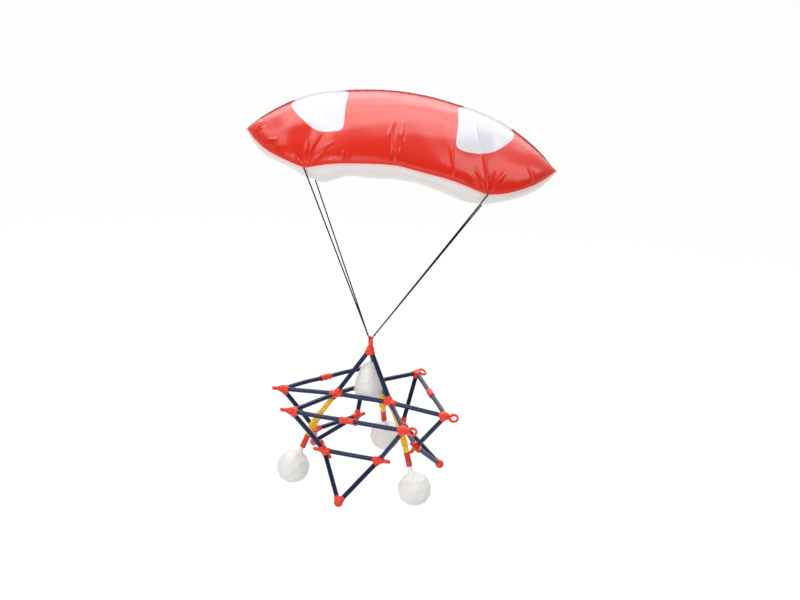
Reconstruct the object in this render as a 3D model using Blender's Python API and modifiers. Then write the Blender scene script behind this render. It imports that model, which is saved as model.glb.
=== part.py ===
"""Toy parachute: an inflated film wing, four lines and a straw-and-connector payload frame.

Metres, +Z up.  The origin is the lift point at the middle of the wing's crown.  The payload
hangs below it: a tetrahedron of straws that cradles an egg capsule, three hinged panels
round it, and three bendy legs with faceted ball feet.
"""
import bisect
import math

import bmesh
import bpy
from mathutils import Euler, Matrix, Vector

# Straws and connectors
STRAW_PITCH = 0.090
STRAW_RADIUS = 0.0038
STRAW_WALL = 0.00045
FIT = 0.0003
SIDES = 8
CORE_RADIUS = 0.0052
ARM_START = 0.0012
ARM_ROLL = 11.0
COLLAR_LIP = 0.0003
COLLAR_REACH = 0.0105
PEG_REACH = 0.0185
FREE_ROOT_REACH = 0.0080
TIP_TAPER = 0.0008
TIP_BALL_RADIUS = 0.0068
COUPLER_HALF = 0.0112
STRAW_SEAT = 0.0010
SHARP_ANGLE = 40.0
WELD = 0.00001
BALL_STEPS = 2

# Rings that stand out of the rim connectors and the apex
RING_TUBE_RADIUS = 0.0019
RING_RADIUS = 0.0062
RING_REACH = 0.0130
APEX_RING_REACH = 0.0136
RING_STEPS = 16
RING_TUBE_STEPS = 8

# Angles of the folded panels, in degrees
RIM_DROOP = 5.3
BRACE_LEAN = 23.9
TIP_SPLAY = 45.0
PAYLOAD_TURN = -13.6

# Where the payload hangs, from the lift point to the middle of the cradle
PAYLOAD_SIDE = -0.0350
PAYLOAD_BACK = 0.0259
PAYLOAD_DROP = 0.4465

# Legs
LEG_UPPER_LENGTH = 0.0554
LEG_UPPER_SLOPE = 35.6
LEG_LOWER_SLOPE = 22.4
BELLOWS_LENGTH = 0.0340
BELLOWS_RIBS = 9
BELLOWS_RIB_HEIGHT = 0.0011
SLEEVE_START = 0.0262
SLEEVE_LENGTH = 0.0220
SLEEVE_LIP = 0.0004
SLEEVE_SOCKET = 0.0080
STEM_LENGTH = 0.0093
BALL_RADIUS = 0.0270
BALL_WALL = 0.0012
STEM_RADIUS = 0.0034
STEM_FLARE_RADIUS = 0.0055
STEM_BORE_RADIUS = 0.0016

# Egg capsule
EGG_RADIUS_SHARE = 0.25
EGG_HEIGHT_SHARE = 0.733
EGG_DEPTH_SHARE = 0.156
EGG_WALL = 0.0014
EGG_BOTTOM_SHARE = 0.29
EGG_TAPER_SHARE = 0.12
EGG_STEPS = 24
EGG_RINGS = 12

# Wing of two sealed films
WING_HALF_SPAN = 0.2320
WING_ARCH = 0.0363
WING_FRONT = 0.0972
WING_REAR = 0.0833
WING_CROWN = 0.0256
WING_BELLY = 0.0638
WING_PITCH = 25.6
WING_BANK = 4.5
FRONT_PULL = 0.0132
MID_RISE = 0.0057
PULL_WIDTH = 0.0370
TIP_HALF_WIDTH = 0.0040
FILM_WALL = 0.0005
FRONT_LINE_SHARE = 0.571
REAR_LEFT_SHARE = 0.771
REAR_RIGHT_SHARE = 0.827
BELLY_REAR_SHARE = 0.80
FRONT_EDGE_POWER = 4.16
REAR_EDGE_POWER = 3.51
ARCH_POWER = 1.62
FULLNESS_POWER = 3.0
PULL_POWER = 1.5
WING_SPAN_STEPS = 36
WING_CHORD_STEPS = 7

# How the seams rise and the belly fills along the span, at shares of the half span
SPAN_SHARES = (-1.0, -0.85, -0.7, -0.571, -0.45, -0.3, -0.15, 0.0,
               0.15, 0.3, 0.45, 0.571, 0.7, 0.85, 1.0)
FRONT_RISES = (-0.0010, -0.0032, 0.0004, 0.0027, 0.0055, 0.0058, 0.0051, 0.0029,
               0.0029, 0.0040, 0.0030, 0.0017, -0.0020, -0.0008, 0.0032)
REAR_RISES = (-0.0077, -0.0044, -0.0019, -0.0021, -0.0032, -0.0030, -0.0025, -0.0029,
              -0.0034, -0.0050, -0.0046, -0.0043, -0.0053, -0.0060, -0.0075)
BELLY_SHARES = (0.870, 0.859, 0.742, 0.900, 1.239, 0.996, 1.050, 1.032,
                0.957, 1.095, 1.172, 0.999, 0.902, 0.996, 0.881)

# Lines, their two knots and the loop under the apex ring's top
LINE_RADIUS = 0.0010
LINE_GAP = 0.0007
LINE_POINTS = 9
KNOT_RADIUS = 0.0015
KNOT_TOP_RADIUS = 0.0021
KNOT_HEIGHT = 0.0040
KNOT_STEPS = 12
KNOT_SIDE = 0.0045
KNOT_RISE = 0.0022
LOOP_STEPS = 9

PANELS = ("front", "right", "left")
LEGS = {"left": 210.0, "right": -30.0, "back": 90.0}

NAVY = (0.011, 0.027, 0.085, 1.0)
RED_ORANGE = (0.80, 0.052, 0.025, 1.0)
YELLOW = (0.92, 0.47, 0.014, 1.0)
WARM_WHITE = (0.85, 0.85, 0.83, 1.0)
FILM_RED = (0.76, 0.052, 0.023, 1.0)
FILM_WHITE = (0.84, 0.84, 0.86, 1.0)
BLACK = (0.010, 0.010, 0.011, 1.0)

for old in list(bpy.data.objects):
    bpy.data.objects.remove(old, do_unlink=True)

SCENE = bpy.context.scene
PARTS = bpy.data.collections.new("toy_parachute")
CUTTERS = bpy.data.collections.new("cutters")
SCENE.collection.children.link(PARTS)
SCENE.collection.children.link(CUTTERS)


# Materials
def material(name, colour, roughness, metallic=0.0):
    made = bpy.data.materials.new(name)
    made.use_nodes = True
    shader = made.node_tree.nodes["Principled BSDF"]
    shader.inputs["Base Color"].default_value = colour
    shader.inputs["Roughness"].default_value = roughness
    shader.inputs["Metallic"].default_value = metallic
    return made


MATERIALS = {
    "straw": material("navy straw", NAVY, 0.35),
    "connector": material("red-orange connector", RED_ORANGE, 0.45),
    "bendy": material("yellow bendy straw", YELLOW, 0.35),
    "ball": material("white ball foot", WARM_WHITE, 0.5),
    "egg": material("white egg shell", WARM_WHITE, 0.4),
    "film_red": material("red and white film", FILM_RED, 0.2),
    "film_white": material("white film", FILM_WHITE, 0.2),
    "line": material("black line", BLACK, 0.7),
}


# Objects
def add_object(name, mesh, finish, parent=None, pivot=Vector()):
    """Puts a mesh into the part, hung from its parent empty, whose point in the mesh is pivot."""
    made = bpy.data.objects.new(name, mesh)
    PARTS.objects.link(made)
    made.data.materials.clear()
    made.data.materials.append(MATERIALS[finish])
    if parent is not None:
        made.parent = parent
        made.location = -pivot
    for face in made.data.polygons:
        face.use_smooth = True
    made.data.set_sharp_from_angle(angle=math.radians(SHARP_ANGLE))
    return made


def add_pivot(name, point, parent=None, turn=0.0):
    made = bpy.data.objects.new(name, None)
    CUTTERS.objects.link(made)
    made.location = point
    made.rotation_euler = Euler((0.0, 0.0, math.radians(turn)))
    made.parent = parent
    return made


def evaluated_mesh(made):
    """The mesh that an object's modifiers give, with the object itself removed."""
    bpy.context.view_layer.update()
    graph = bpy.context.evaluated_depsgraph_get()
    mesh = bpy.data.meshes.new_from_object(made.evaluated_get(graph))
    bpy.data.objects.remove(made, do_unlink=True)
    return mesh


def turned(profile, steps=SIDES):
    """A closed solid of revolution about +Z from (radius, height) points, top to bottom."""
    work = bmesh.new()
    corners = [work.verts.new((radius, 0.0, height)) for radius, height in profile]
    for first, second in zip(corners, corners[1:]):
        work.edges.new((first, second))
    mesh = bpy.data.meshes.new("profile")
    work.to_mesh(mesh)
    work.free()
    lathe = bpy.data.objects.new("lathe", mesh)
    CUTTERS.objects.link(lathe)
    screw = lathe.modifiers.new("turn", "SCREW")
    screw.axis = "Z"
    screw.steps = steps
    screw.render_steps = steps
    screw.use_merge_vertices = True
    screw.merge_threshold = WELD
    screw.use_normal_calculate = False
    return evaluated_mesh(lathe)


def welded(mesh):
    """The mesh with corners that coincide made one."""
    work = bmesh.new()
    work.from_mesh(mesh)
    bmesh.ops.remove_doubles(work, verts=work.verts, dist=WELD)
    work.to_mesh(mesh)
    work.free()
    return mesh


def aimed(direction, start=Vector()):
    """The matrix that takes +Z to a direction and the origin to a start."""
    turn = direction.normalized().to_track_quat("Z", "Y").to_matrix().to_4x4()
    return Matrix.Translation(start) @ turn


def fused(meshes):
    """One mesh from overlapping solids, given as (mesh, matrix) pairs."""
    solids = []
    for number, (mesh, place) in enumerate(meshes):
        copy = mesh.copy()
        copy.transform(place)
        solid = bpy.data.objects.new(f"fuse_{number}", copy)
        CUTTERS.objects.link(solid)
        solid.hide_render = True
        solid.display_type = "WIRE"
        solids.append(solid)
    body = solids[0]
    for tool in solids[1:]:
        union = body.modifiers.new("join", "BOOLEAN")
        union.operation = "UNION"
        union.solver = "EXACT"
        union.object = tool
    result = evaluated_mesh(body)
    for tool in solids[1:]:
        bpy.data.objects.remove(tool, do_unlink=True)
    return result


def cut(mesh, tools):
    """A mesh with overlapping tools, (mesh, matrix) pairs, cut out of it one after another."""
    body = bpy.data.objects.new("cut_body", mesh)
    CUTTERS.objects.link(body)
    cutters = []
    for number, (tool_mesh, place) in enumerate(tools):
        copy = tool_mesh.copy()
        copy.transform(place)
        tool = bpy.data.objects.new(f"cut_{number}", copy)
        CUTTERS.objects.link(tool)
        tool.hide_render = True
        tool.display_type = "WIRE"
        cutters.append(tool)
        difference = body.modifiers.new("cut", "BOOLEAN")
        difference.operation = "DIFFERENCE"
        difference.solver = "EXACT"
        difference.object = tool
    result = evaluated_mesh(body)
    for tool in cutters:
        bpy.data.objects.remove(tool, do_unlink=True)
    return result


def ball_mesh(radius):
    work = bmesh.new()
    bmesh.ops.create_icosphere(work, subdivisions=BALL_STEPS, radius=radius)
    mesh = bpy.data.meshes.new("ball")
    work.to_mesh(mesh)
    work.free()
    return mesh


def on_table(share, table):
    """The value at a share of the half span, on a smooth curve through a table's values."""
    last = len(SPAN_SHARES) - 1
    spot = min(max(bisect.bisect(SPAN_SHARES, share) - 1, 0), last - 1)
    width = SPAN_SHARES[spot + 1] - SPAN_SHARES[spot]
    slopes = []
    for number in (spot, spot + 1):
        before, after = max(number - 1, 0), min(number + 1, last)
        run = SPAN_SHARES[after] - SPAN_SHARES[before]
        slopes.append((table[after] - table[before]) / run * width)
    part = (share - SPAN_SHARES[spot]) / width
    rest = 1.0 - part
    start, end = table[spot], table[spot + 1]
    ends = start * rest * rest * (1.0 + 2.0 * part) + end * part * part * (1.0 + 2.0 * rest)
    return ends + slopes[0] * part * rest * rest - slopes[1] * part * part * rest


# Hub centres of the payload, about the middle of its cradle
def turned_about_z(point, degrees):
    return Matrix.Rotation(math.radians(degrees), 3, "Z") @ point


def polar(radius, degrees, height):
    angle = math.radians(degrees)
    return Vector((radius * math.cos(angle), radius * math.sin(angle), height))


def hub_places():
    cradle_radius = STRAW_PITCH / math.sqrt(3.0)
    cradle_depth = cradle_radius / 2.0
    panel_height = STRAW_PITCH * math.sqrt(3.0) / 2.0
    hubs = {"apex": Vector((0.0, 0.0, STRAW_PITCH * math.sqrt(2.0 / 3.0)))}
    for leg, degrees in LEGS.items():
        hubs[f"cradle_{leg}"] = polar(cradle_radius, degrees, 0.0)
    droop = math.radians(RIM_DROOP)
    lean = math.radians(BRACE_LEAN)
    splay = math.radians(TIP_SPLAY)
    rim_y = -(cradle_depth + panel_height * math.cos(droop))
    rim_z = -panel_height * math.sin(droop)
    brace_y = rim_y + panel_height * math.sin(lean)
    brace_z = rim_z - panel_height * math.cos(lean)
    tip_y = brace_y - panel_height * math.sin(splay)
    tip_z = brace_z - panel_height * math.cos(splay)
    for number, panel in enumerate(PANELS):
        turn = 120.0 * number
        for side, sign in (("a", -1.0), ("b", 1.0)):
            rim = Vector((sign * STRAW_PITCH, rim_y, rim_z))
            brace = Vector((sign * STRAW_PITCH / 2.0, brace_y, brace_z))
            hubs[f"{panel}_rim_{side}"] = turned_about_z(rim, turn)
            hubs[f"{panel}_brace_{side}"] = turned_about_z(brace, turn)
        hubs[f"{panel}_coupler"] = turned_about_z(Vector((0.0, rim_y, rim_z)), turn)
        hubs[f"{panel}_tip"] = turned_about_z(Vector((0.0, tip_y, tip_z)), turn)
    return hubs


HUBS = hub_places()
CRADLE_OF = {
    "front_rim_a": "cradle_left",
    "front_rim_b": "cradle_right",
    "right_rim_a": "cradle_right",
    "right_rim_b": "cradle_back",
    "left_rim_a": "cradle_back",
    "left_rim_b": "cradle_left",
}


def straw_runs():
    """The hubs that each separate straw joins."""
    runs = {f"apex_straw_{leg}": ("apex", f"cradle_{leg}") for leg in LEGS}
    runs["cradle_straw_front"] = ("cradle_left", "cradle_right")
    runs["cradle_straw_right"] = ("cradle_right", "cradle_back")
    runs["cradle_straw_left"] = ("cradle_back", "cradle_left")
    for panel in PANELS:
        for side in ("a", "b"):
            rim = f"{panel}_rim_{side}"
            runs[f"{panel}_arm_straw_{side}"] = (CRADLE_OF[rim], rim)
            runs[f"{panel}_side_straw_{side}"] = (rim, f"{panel}_brace_{side}")
    return runs


def joined_runs():
    """The hubs that the straws of the panels' rails, cross bars and tips join."""
    runs = []
    for panel in PANELS:
        runs.append((f"{panel}_brace_a", f"{panel}_brace_b"))
        for side in ("a", "b"):
            runs.append((f"{panel}_rim_{side}", f"{panel}_coupler"))
            runs.append((f"{panel}_brace_{side}", f"{panel}_tip"))
    return runs


RUNS = straw_runs()


def hub_neighbours():
    found = {name: [] for name in HUBS}
    for first, second in [*RUNS.values(), *joined_runs()]:
        found[first].append(second)
        found[second].append(first)
    return found


NEIGHBOURS = hub_neighbours()

# Free pegs: hub, then the neighbour whose straw the peg carries on in a straight line
FREE_PEGS = {
    "front_rim_a": ["front_coupler"],
    "left_rim_b": ["cradle_left"],
    "left_rim_a": ["left_coupler"],
    "front_brace_a": ["front_brace_b", "front_rim_a", "front_tip"],
    "front_brace_b": ["front_brace_a"],
    "right_brace_a": ["right_brace_b", "right_rim_a", "right_tip"],
    "right_brace_b": ["right_brace_a"],
    "left_brace_a": ["left_brace_b", "left_rim_a"],
    "left_brace_b": ["left_brace_a", "left_tip"],
}

# Rings: hub, then the neighbour whose straw the ring carries on
RINGS = {
    "front_rim_b": "front_coupler",
    "right_rim_a": "cradle_right",
    "right_rim_b": "cradle_back",
}

BORE_RADIUS = STRAW_RADIUS - STRAW_WALL
PEG_RADIUS = BORE_RADIUS * math.cos(math.pi / SIDES) - FIT
COLLAR_RADIUS = STRAW_RADIUS + COLLAR_LIP


# Connectors
def straw_arm():
    return turned([
        (0.0, PEG_REACH),
        (PEG_RADIUS, PEG_REACH),
        (PEG_RADIUS, COLLAR_REACH),
        (COLLAR_RADIUS, COLLAR_REACH),
        (COLLAR_RADIUS, ARM_START),
        (0.0, ARM_START),
    ])


def collar_arm():
    return turned([
        (0.0, COLLAR_REACH),
        (COLLAR_RADIUS, COLLAR_REACH),
        (COLLAR_RADIUS, ARM_START),
        (0.0, ARM_START),
    ])


def free_arm():
    return turned([
        (0.0, PEG_REACH),
        (PEG_RADIUS - TIP_TAPER, PEG_REACH),
        (PEG_RADIUS, PEG_REACH - TIP_TAPER),
        (PEG_RADIUS, FREE_ROOT_REACH),
        (COLLAR_RADIUS, ARM_START),
        (0.0, ARM_START),
    ])


def ring_root(ring_reach):
    end = ring_reach - RING_RADIUS
    return turned([
        (0.0, end),
        (RING_TUBE_RADIUS, end),
        (COLLAR_RADIUS, ARM_START),
        (0.0, ARM_START),
    ])


def ring_mesh():
    """A ring about +Z of the ring's own tube and radius."""
    bpy.ops.mesh.primitive_torus_add(
        major_radius=RING_RADIUS,
        minor_radius=RING_TUBE_RADIUS,
        major_segments=RING_STEPS,
        minor_segments=RING_TUBE_STEPS,
    )
    made = bpy.context.object
    mesh = made.data
    bpy.data.objects.remove(made, do_unlink=True)
    return mesh


ARM = straw_arm()
COLLAR_ARM = collar_arm()
FREE_ARM = free_arm()
RIM_RING_ROOT = ring_root(RING_REACH)
APEX_RING_ROOT = ring_root(APEX_RING_REACH)
RING = ring_mesh()
CORE = ball_mesh(CORE_RADIUS)
TIP_CORE = ball_mesh(TIP_BALL_RADIUS)
ACROSS = Vector((1.0, 0.0, 0.0))
UP = Vector((0.0, 0.0, 1.0))


def leg_direction(leg, slope):
    degrees = LEGS[leg]
    flat = math.sin(math.radians(slope))
    return polar(flat, degrees, -math.cos(math.radians(slope)))


def ring_place(direction, reach, hole_axis):
    """A ring that stands out along a direction, with its hole as near hole_axis as that lets it."""
    side = (hole_axis - direction * hole_axis.dot(direction)).normalized()
    frame = Matrix((side.cross(direction), direction, side)).transposed().to_4x4()
    return Matrix.Translation(direction * reach) @ frame


def connector_solids(name):
    """The core, arms, free pegs and ring of one connector, about its own centre."""
    centre = HUBS[name]
    arms = [(ARM, HUBS[other] - centre) for other in NEIGHBOURS[name]]
    if name.startswith("cradle_"):
        leg = name.removeprefix("cradle_")
        arms.append((ARM, leg_direction(leg, LEG_UPPER_SLOPE)))
    arms += [(FREE_ARM, centre - HUBS[other]) for other in FREE_PEGS.get(name, [])]
    solids = [(CORE, Matrix())]
    for number, (mesh, direction) in enumerate(arms):
        roll = Matrix.Rotation(math.radians(ARM_ROLL * (number + 1)), 4, "Z")
        solids.append((mesh, aimed(direction) @ roll))
    if name in RINGS:
        direction = (centre - HUBS[RINGS[name]]).normalized()
        outward = Vector((centre.x, centre.y, 0.0)).normalized()
        solids.append((RIM_RING_ROOT, aimed(direction)))
        solids.append((RING, ring_place(direction, RING_REACH, outward.cross(UP) + outward)))
    if name == "apex":
        hole_axis = turned_about_z(ACROSS, -PAYLOAD_TURN)
        solids.append((APEX_RING_ROOT, Matrix()))
        solids.append((RING, ring_place(UP, APEX_RING_REACH, hole_axis)))
    return solids


def connector(name):
    mesh = fused(connector_solids(name))
    mesh.transform(Matrix.Translation(HUBS[name]))
    return mesh


def cross_bar(panel):
    """A panel's two brace connectors with the straw between them."""
    first, second = HUBS[f"{panel}_brace_a"], HUBS[f"{panel}_brace_b"]
    solids = []
    for side, centre in (("a", first), ("b", second)):
        shift = Matrix.Translation(centre)
        solids += [(mesh, shift @ place) for mesh, place in connector_solids(f"{panel}_brace_{side}")]
    straw = turned([
        (0.0, STRAW_PITCH - ARM_START),
        (STRAW_RADIUS, STRAW_PITCH - ARM_START),
        (STRAW_RADIUS, ARM_START),
        (0.0, ARM_START),
    ])
    solids.append((straw, aimed(second - first, first)))
    return fused(solids)


def tip_vee(panel):
    """A panel's ball-ended tip connector with its two straws."""
    tip = HUBS[f"{panel}_tip"]
    solids = [(TIP_CORE, Matrix.Translation(tip))]
    for side in ("a", "b"):
        far = HUBS[f"{panel}_brace_{side}"]
        direction = (far - tip).normalized()
        solids.append((COLLAR_ARM, aimed(direction, tip)))
        start = COLLAR_REACH - STRAW_SEAT
        length = STRAW_PITCH - start - COLLAR_REACH - FIT
        solids.append(tube(length, tip + direction * start, direction))
    return fused(solids)


def rim_rail(panel):
    """A panel's rim: two straws on one coupler, open at both ends for the rim connectors' pegs."""
    end = STRAW_PITCH - COLLAR_REACH - FIT
    mesh = turned([
        (0.0, COUPLER_HALF),
        (BORE_RADIUS, COUPLER_HALF),
        (BORE_RADIUS, end),
        (STRAW_RADIUS, end),
        (STRAW_RADIUS, COUPLER_HALF),
        (COLLAR_RADIUS, COUPLER_HALF),
        (COLLAR_RADIUS, -COUPLER_HALF),
        (STRAW_RADIUS, -COUPLER_HALF),
        (STRAW_RADIUS, -end),
        (BORE_RADIUS, -end),
        (BORE_RADIUS, -COUPLER_HALF),
        (0.0, -COUPLER_HALF),
    ])
    direction = HUBS[f"{panel}_rim_b"] - HUBS[f"{panel}_rim_a"]
    mesh.transform(aimed(direction, HUBS[f"{panel}_coupler"]))
    return mesh


# Straws
def tube(length, start, direction):
    mesh = turned([
        (BORE_RADIUS, length),
        (STRAW_RADIUS, length),
        (STRAW_RADIUS, 0.0),
        (BORE_RADIUS, 0.0),
        (BORE_RADIUS, length),
    ])
    return welded(mesh), aimed(direction, start)


def straw_between(first, second):
    start, end = HUBS[first], HUBS[second]
    direction = (end - start).normalized()
    reach = COLLAR_REACH + FIT
    mesh, place = tube((end - start).length - 2.0 * reach, start + direction * reach, direction)
    mesh.transform(place)
    return mesh


# Legs
LEG_LOWER_LENGTH = SLEEVE_START + SLEEVE_LENGTH + STEM_LENGTH + BALL_RADIUS


def leg_places(leg):
    """The leg's hub, bend and ball centre."""
    hub = HUBS[f"cradle_{leg}"]
    bend = hub + leg_direction(leg, LEG_UPPER_SLOPE) * LEG_UPPER_LENGTH
    foot = bend + leg_direction(leg, LEG_LOWER_SLOPE) * LEG_LOWER_LENGTH
    return hub, bend, foot


def bellows(leg):
    """The ribbed stretch of a bendy straw, bent evenly between the leg's two slopes."""
    _, bend, _ = leg_places(leg)
    half = BELLOWS_LENGTH / 2.0 - FIT
    folds = 2 * BELLOWS_RIBS
    outer = []
    for number in range(folds + 1):
        height = half - 2.0 * half * number / folds
        rise = BELLOWS_RIB_HEIGHT if number % 2 else 0.0
        outer.append((STRAW_RADIUS + rise, height))
    inner = [(BORE_RADIUS, -half), (BORE_RADIUS, 0.0), (BORE_RADIUS, half)]
    mesh = welded(turned(outer + inner + outer[:1]))
    side = turned_about_z(Vector((0.0, 1.0, 0.0)), LEGS[leg])
    upper = leg_direction(leg, LEG_UPPER_SLOPE)
    lower = leg_direction(leg, LEG_LOWER_SLOPE)
    for vertex in mesh.vertices:
        share = 1.0 / 2.0 - vertex.co.z / (2.0 * half)
        slope = LEG_UPPER_SLOPE + (LEG_LOWER_SLOPE - LEG_UPPER_SLOPE) * share
        top, bottom = bend - upper * half, bend + lower * half
        middle = top.lerp(bend, share).lerp(bend.lerp(bottom, share), share)
        out = leg_direction(leg, slope).cross(side).normalized()
        vertex.co = middle + out * vertex.co.x + side * vertex.co.y
    return mesh


def leg_end():
    """A bendy straw's lower end in its red sleeve, along -Z from the sleeve's upper face."""
    outer = COLLAR_RADIUS + SLEEVE_LIP
    stub = SLEEVE_START - BELLOWS_LENGTH / 2.0
    return turned([
        (0.0, 0.0),
        (BORE_RADIUS, 0.0),
        (BORE_RADIUS, stub),
        (STRAW_RADIUS, stub),
        (STRAW_RADIUS, 0.0),
        (outer, 0.0),
        (outer, -SLEEVE_LENGTH),
        (BORE_RADIUS, -SLEEVE_LENGTH),
        (BORE_RADIUS, SLEEVE_SOCKET - SLEEVE_LENGTH),
        (0.0, SLEEVE_SOCKET - SLEEVE_LENGTH),
    ])


def ball_foot():
    """A hollow faceted ball with its stem along +Z, about the ball's centre."""
    stem_bottom = BALL_RADIUS - BALL_WALL * 2.0
    sleeve_face = LEG_LOWER_LENGTH - SLEEVE_START - SLEEVE_LENGTH
    stem_top = sleeve_face - FIT
    peg_top = sleeve_face + SLEEVE_SOCKET - 2.0 * FIT
    stem = turned([
        (0.0, peg_top),
        (PEG_RADIUS, peg_top),
        (PEG_RADIUS, stem_top),
        (STEM_RADIUS, stem_top),
        (STEM_FLARE_RADIUS, stem_bottom),
        (0.0, stem_bottom),
    ])
    whole = fused([(ball_mesh(BALL_RADIUS), Matrix()), (stem, Matrix())])
    bore = turned([
        (0.0, peg_top + FIT),
        (STEM_BORE_RADIUS, peg_top + FIT),
        (STEM_BORE_RADIUS, 0.0),
        (0.0, 0.0),
    ])
    return cut(whole, [(ball_mesh(BALL_RADIUS - BALL_WALL), Matrix()), (bore, Matrix())])


# Egg capsule
EGG_RADIUS = STRAW_PITCH * EGG_RADIUS_SHARE
EGG_HEIGHT = STRAW_PITCH * EGG_HEIGHT_SHARE
EGG_DEPTH = STRAW_PITCH * EGG_DEPTH_SHARE


def egg_solid(inset=0.0):
    """The egg's outline turned about its axis, widest just above the straws that hold it."""
    points = []
    for number in range(EGG_RINGS + 1):
        angle = math.pi * number / EGG_RINGS
        rise, fall = max(math.cos(angle), 0.0), min(math.cos(angle), 0.0)
        share = EGG_BOTTOM_SHARE * (1.0 + fall) + (1.0 - EGG_BOTTOM_SHARE) * rise
        height = inset - EGG_DEPTH + (EGG_HEIGHT - 2.0 * inset) * share
        radius = (EGG_RADIUS - inset) * math.sin(angle) * (1.0 - EGG_TAPER_SHARE * rise)
        points.append((radius if 0 < number < EGG_RINGS else 0.0, height))
    return turned(points, EGG_STEPS)


def egg_half(sign):
    """One half of the hollow capsule, open at the upright parting plane."""
    work = bmesh.new()
    bmesh.ops.create_cube(work, size=2.0 * EGG_HEIGHT)
    box = bpy.data.meshes.new("egg_box")
    work.to_mesh(box)
    work.free()
    beyond = Matrix.Translation((0.0, sign * (FIT / 2.0 - EGG_HEIGHT), 0.0))
    return cut(egg_solid(), [(egg_solid(EGG_WALL), Matrix()), (box, beyond)])


# Wing
def wing_matrix():
    """From the wing's own frame, whose origin is mid-chord, to the part's frame."""
    bank = Matrix.Rotation(math.radians(WING_BANK), 3, "Y")
    turn = bank @ Matrix.Rotation(math.radians(WING_PITCH), 3, "X")
    mid_chord = (WING_REAR - WING_FRONT) / 2.0
    return turn, turn @ Vector((0.0, -mid_chord, -WING_CROWN - FILM_WALL - FIT))


def edge_point(share, front):
    """A point on the front or rear seam at a share of the half span, in the wing's own frame."""
    reach = abs(share)
    if front:
        depth = -WING_FRONT * (1.0 - reach ** FRONT_EDGE_POWER) - TIP_HALF_WIDTH
    else:
        depth = WING_REAR * (1.0 - reach ** REAR_EDGE_POWER) + TIP_HALF_WIDTH
    height = -WING_ARCH * reach ** ARCH_POWER
    if front:
        pull = abs(reach - FRONT_LINE_SHARE) * WING_HALF_SPAN / PULL_WIDTH
        rise = reach * WING_HALF_SPAN / PULL_WIDTH
        height += MID_RISE * math.exp(-rise ** PULL_POWER)
        height -= FRONT_PULL * math.exp(-pull ** PULL_POWER)
    height += on_table(share, FRONT_RISES if front else REAR_RISES)
    return Vector((WING_HALF_SPAN * share, depth, height))


def film_point(share, chord_share, swell, gap):
    """A point on one film: along the span, from the front seam to the rear seam."""
    front, rear = edge_point(share, True), edge_point(share, False)
    across = (1.0 - math.cos(math.pi * chord_share)) / 2.0
    point = front.lerp(rear, across)
    fullness = math.sqrt(max(1.0 - abs(share) ** FULLNESS_POWER, 0.0))
    if swell < 0.0:
        rear = min((1.0 - chord_share) / BELLY_REAR_SHARE, 1.0)
        fullness *= math.sin(rear * math.pi / 2.0) * on_table(share, BELLY_SHARES)
    point.z += swell * fullness * math.sin(math.pi * chord_share) + gap
    return point


def film(swell, gap):
    """A film as a thin sheet whose inner face is gap away from the seam plane."""
    work = bmesh.new()
    bmesh.ops.create_grid(
        work, x_segments=WING_SPAN_STEPS, y_segments=WING_CHORD_STEPS, size=1.0
    )
    turn, shift = wing_matrix()
    for vertex in work.verts:
        share = math.sin(vertex.co.x * math.pi / 2.0)
        chord_share = (vertex.co.y + 1.0) / 2.0
        vertex.co = turn @ film_point(share, chord_share, swell, gap) + shift
    if swell < 0.0:
        bmesh.ops.reverse_faces(work, faces=work.faces)
    mesh = bpy.data.meshes.new("film")
    work.to_mesh(mesh)
    work.free()
    sheet = bpy.data.objects.new("sheet", mesh)
    CUTTERS.objects.link(sheet)
    wall = sheet.modifiers.new("wall", "SOLIDIFY")
    wall.thickness = FILM_WALL
    wall.offset = 1.0
    return evaluated_mesh(sheet)


# Lines, which meet two and two at a knot on each side of the apex ring
PAYLOAD_PLACE = Vector((PAYLOAD_SIDE, PAYLOAD_BACK, -PAYLOAD_DROP))
APEX_PLACE = PAYLOAD_PLACE + HUBS["apex"]
SWING_POINT = APEX_PLACE + UP * (APEX_RING_REACH + RING_RADIUS)
KNOT_LINE_POINT = SWING_POINT + UP * KNOT_RISE
LINE_ENDS = {
    "front_left": (-FRONT_LINE_SHARE, True),
    "rear_left": (-REAR_LEFT_SHARE, False),
    "front_right": (FRONT_LINE_SHARE, True),
    "rear_right": (REAR_RIGHT_SHARE, False),
}


def line_end(share, front):
    """The point beside the wing's seam where a line is held."""
    turn, shift = wing_matrix()
    step = 1.0 / WING_SPAN_STEPS
    along = edge_point(share + step, front) - edge_point(share - step, front)
    outward = along.cross(UP).normalized() * (1.0 if front else -1.0)
    beside = edge_point(share, front) + outward * (FILM_WALL + LINE_GAP + LINE_RADIUS)
    return turn @ beside + shift


def knot_place(side):
    """The middle of one side's knot and the direction in which its two lines leave it."""
    sign = -1.0 if side == "left" else 1.0
    centre = KNOT_LINE_POINT + ACROSS * (sign * KNOT_SIDE)
    front = (line_end(*LINE_ENDS[f"front_{side}"]) - centre).normalized()
    rear = (line_end(*LINE_ENDS[f"rear_{side}"]) - centre).normalized()
    return centre, (front + rear).normalized()


def bent_rod(points):
    """A round rod of the lines' thickness along points."""
    curve = bpy.data.curves.new("rod", "CURVE")
    curve.dimensions = "3D"
    curve.bevel_depth = LINE_RADIUS
    curve.bevel_resolution = 2
    curve.use_fill_caps = True
    spline = curve.splines.new("POLY")
    spline.points.add(len(points) - 1)
    for point, place in zip(spline.points, points):
        point.co = (*place, 1.0)
    made = bpy.data.objects.new("rod_curve", curve)
    CUTTERS.objects.link(made)
    return welded(evaluated_mesh(made))


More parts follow.
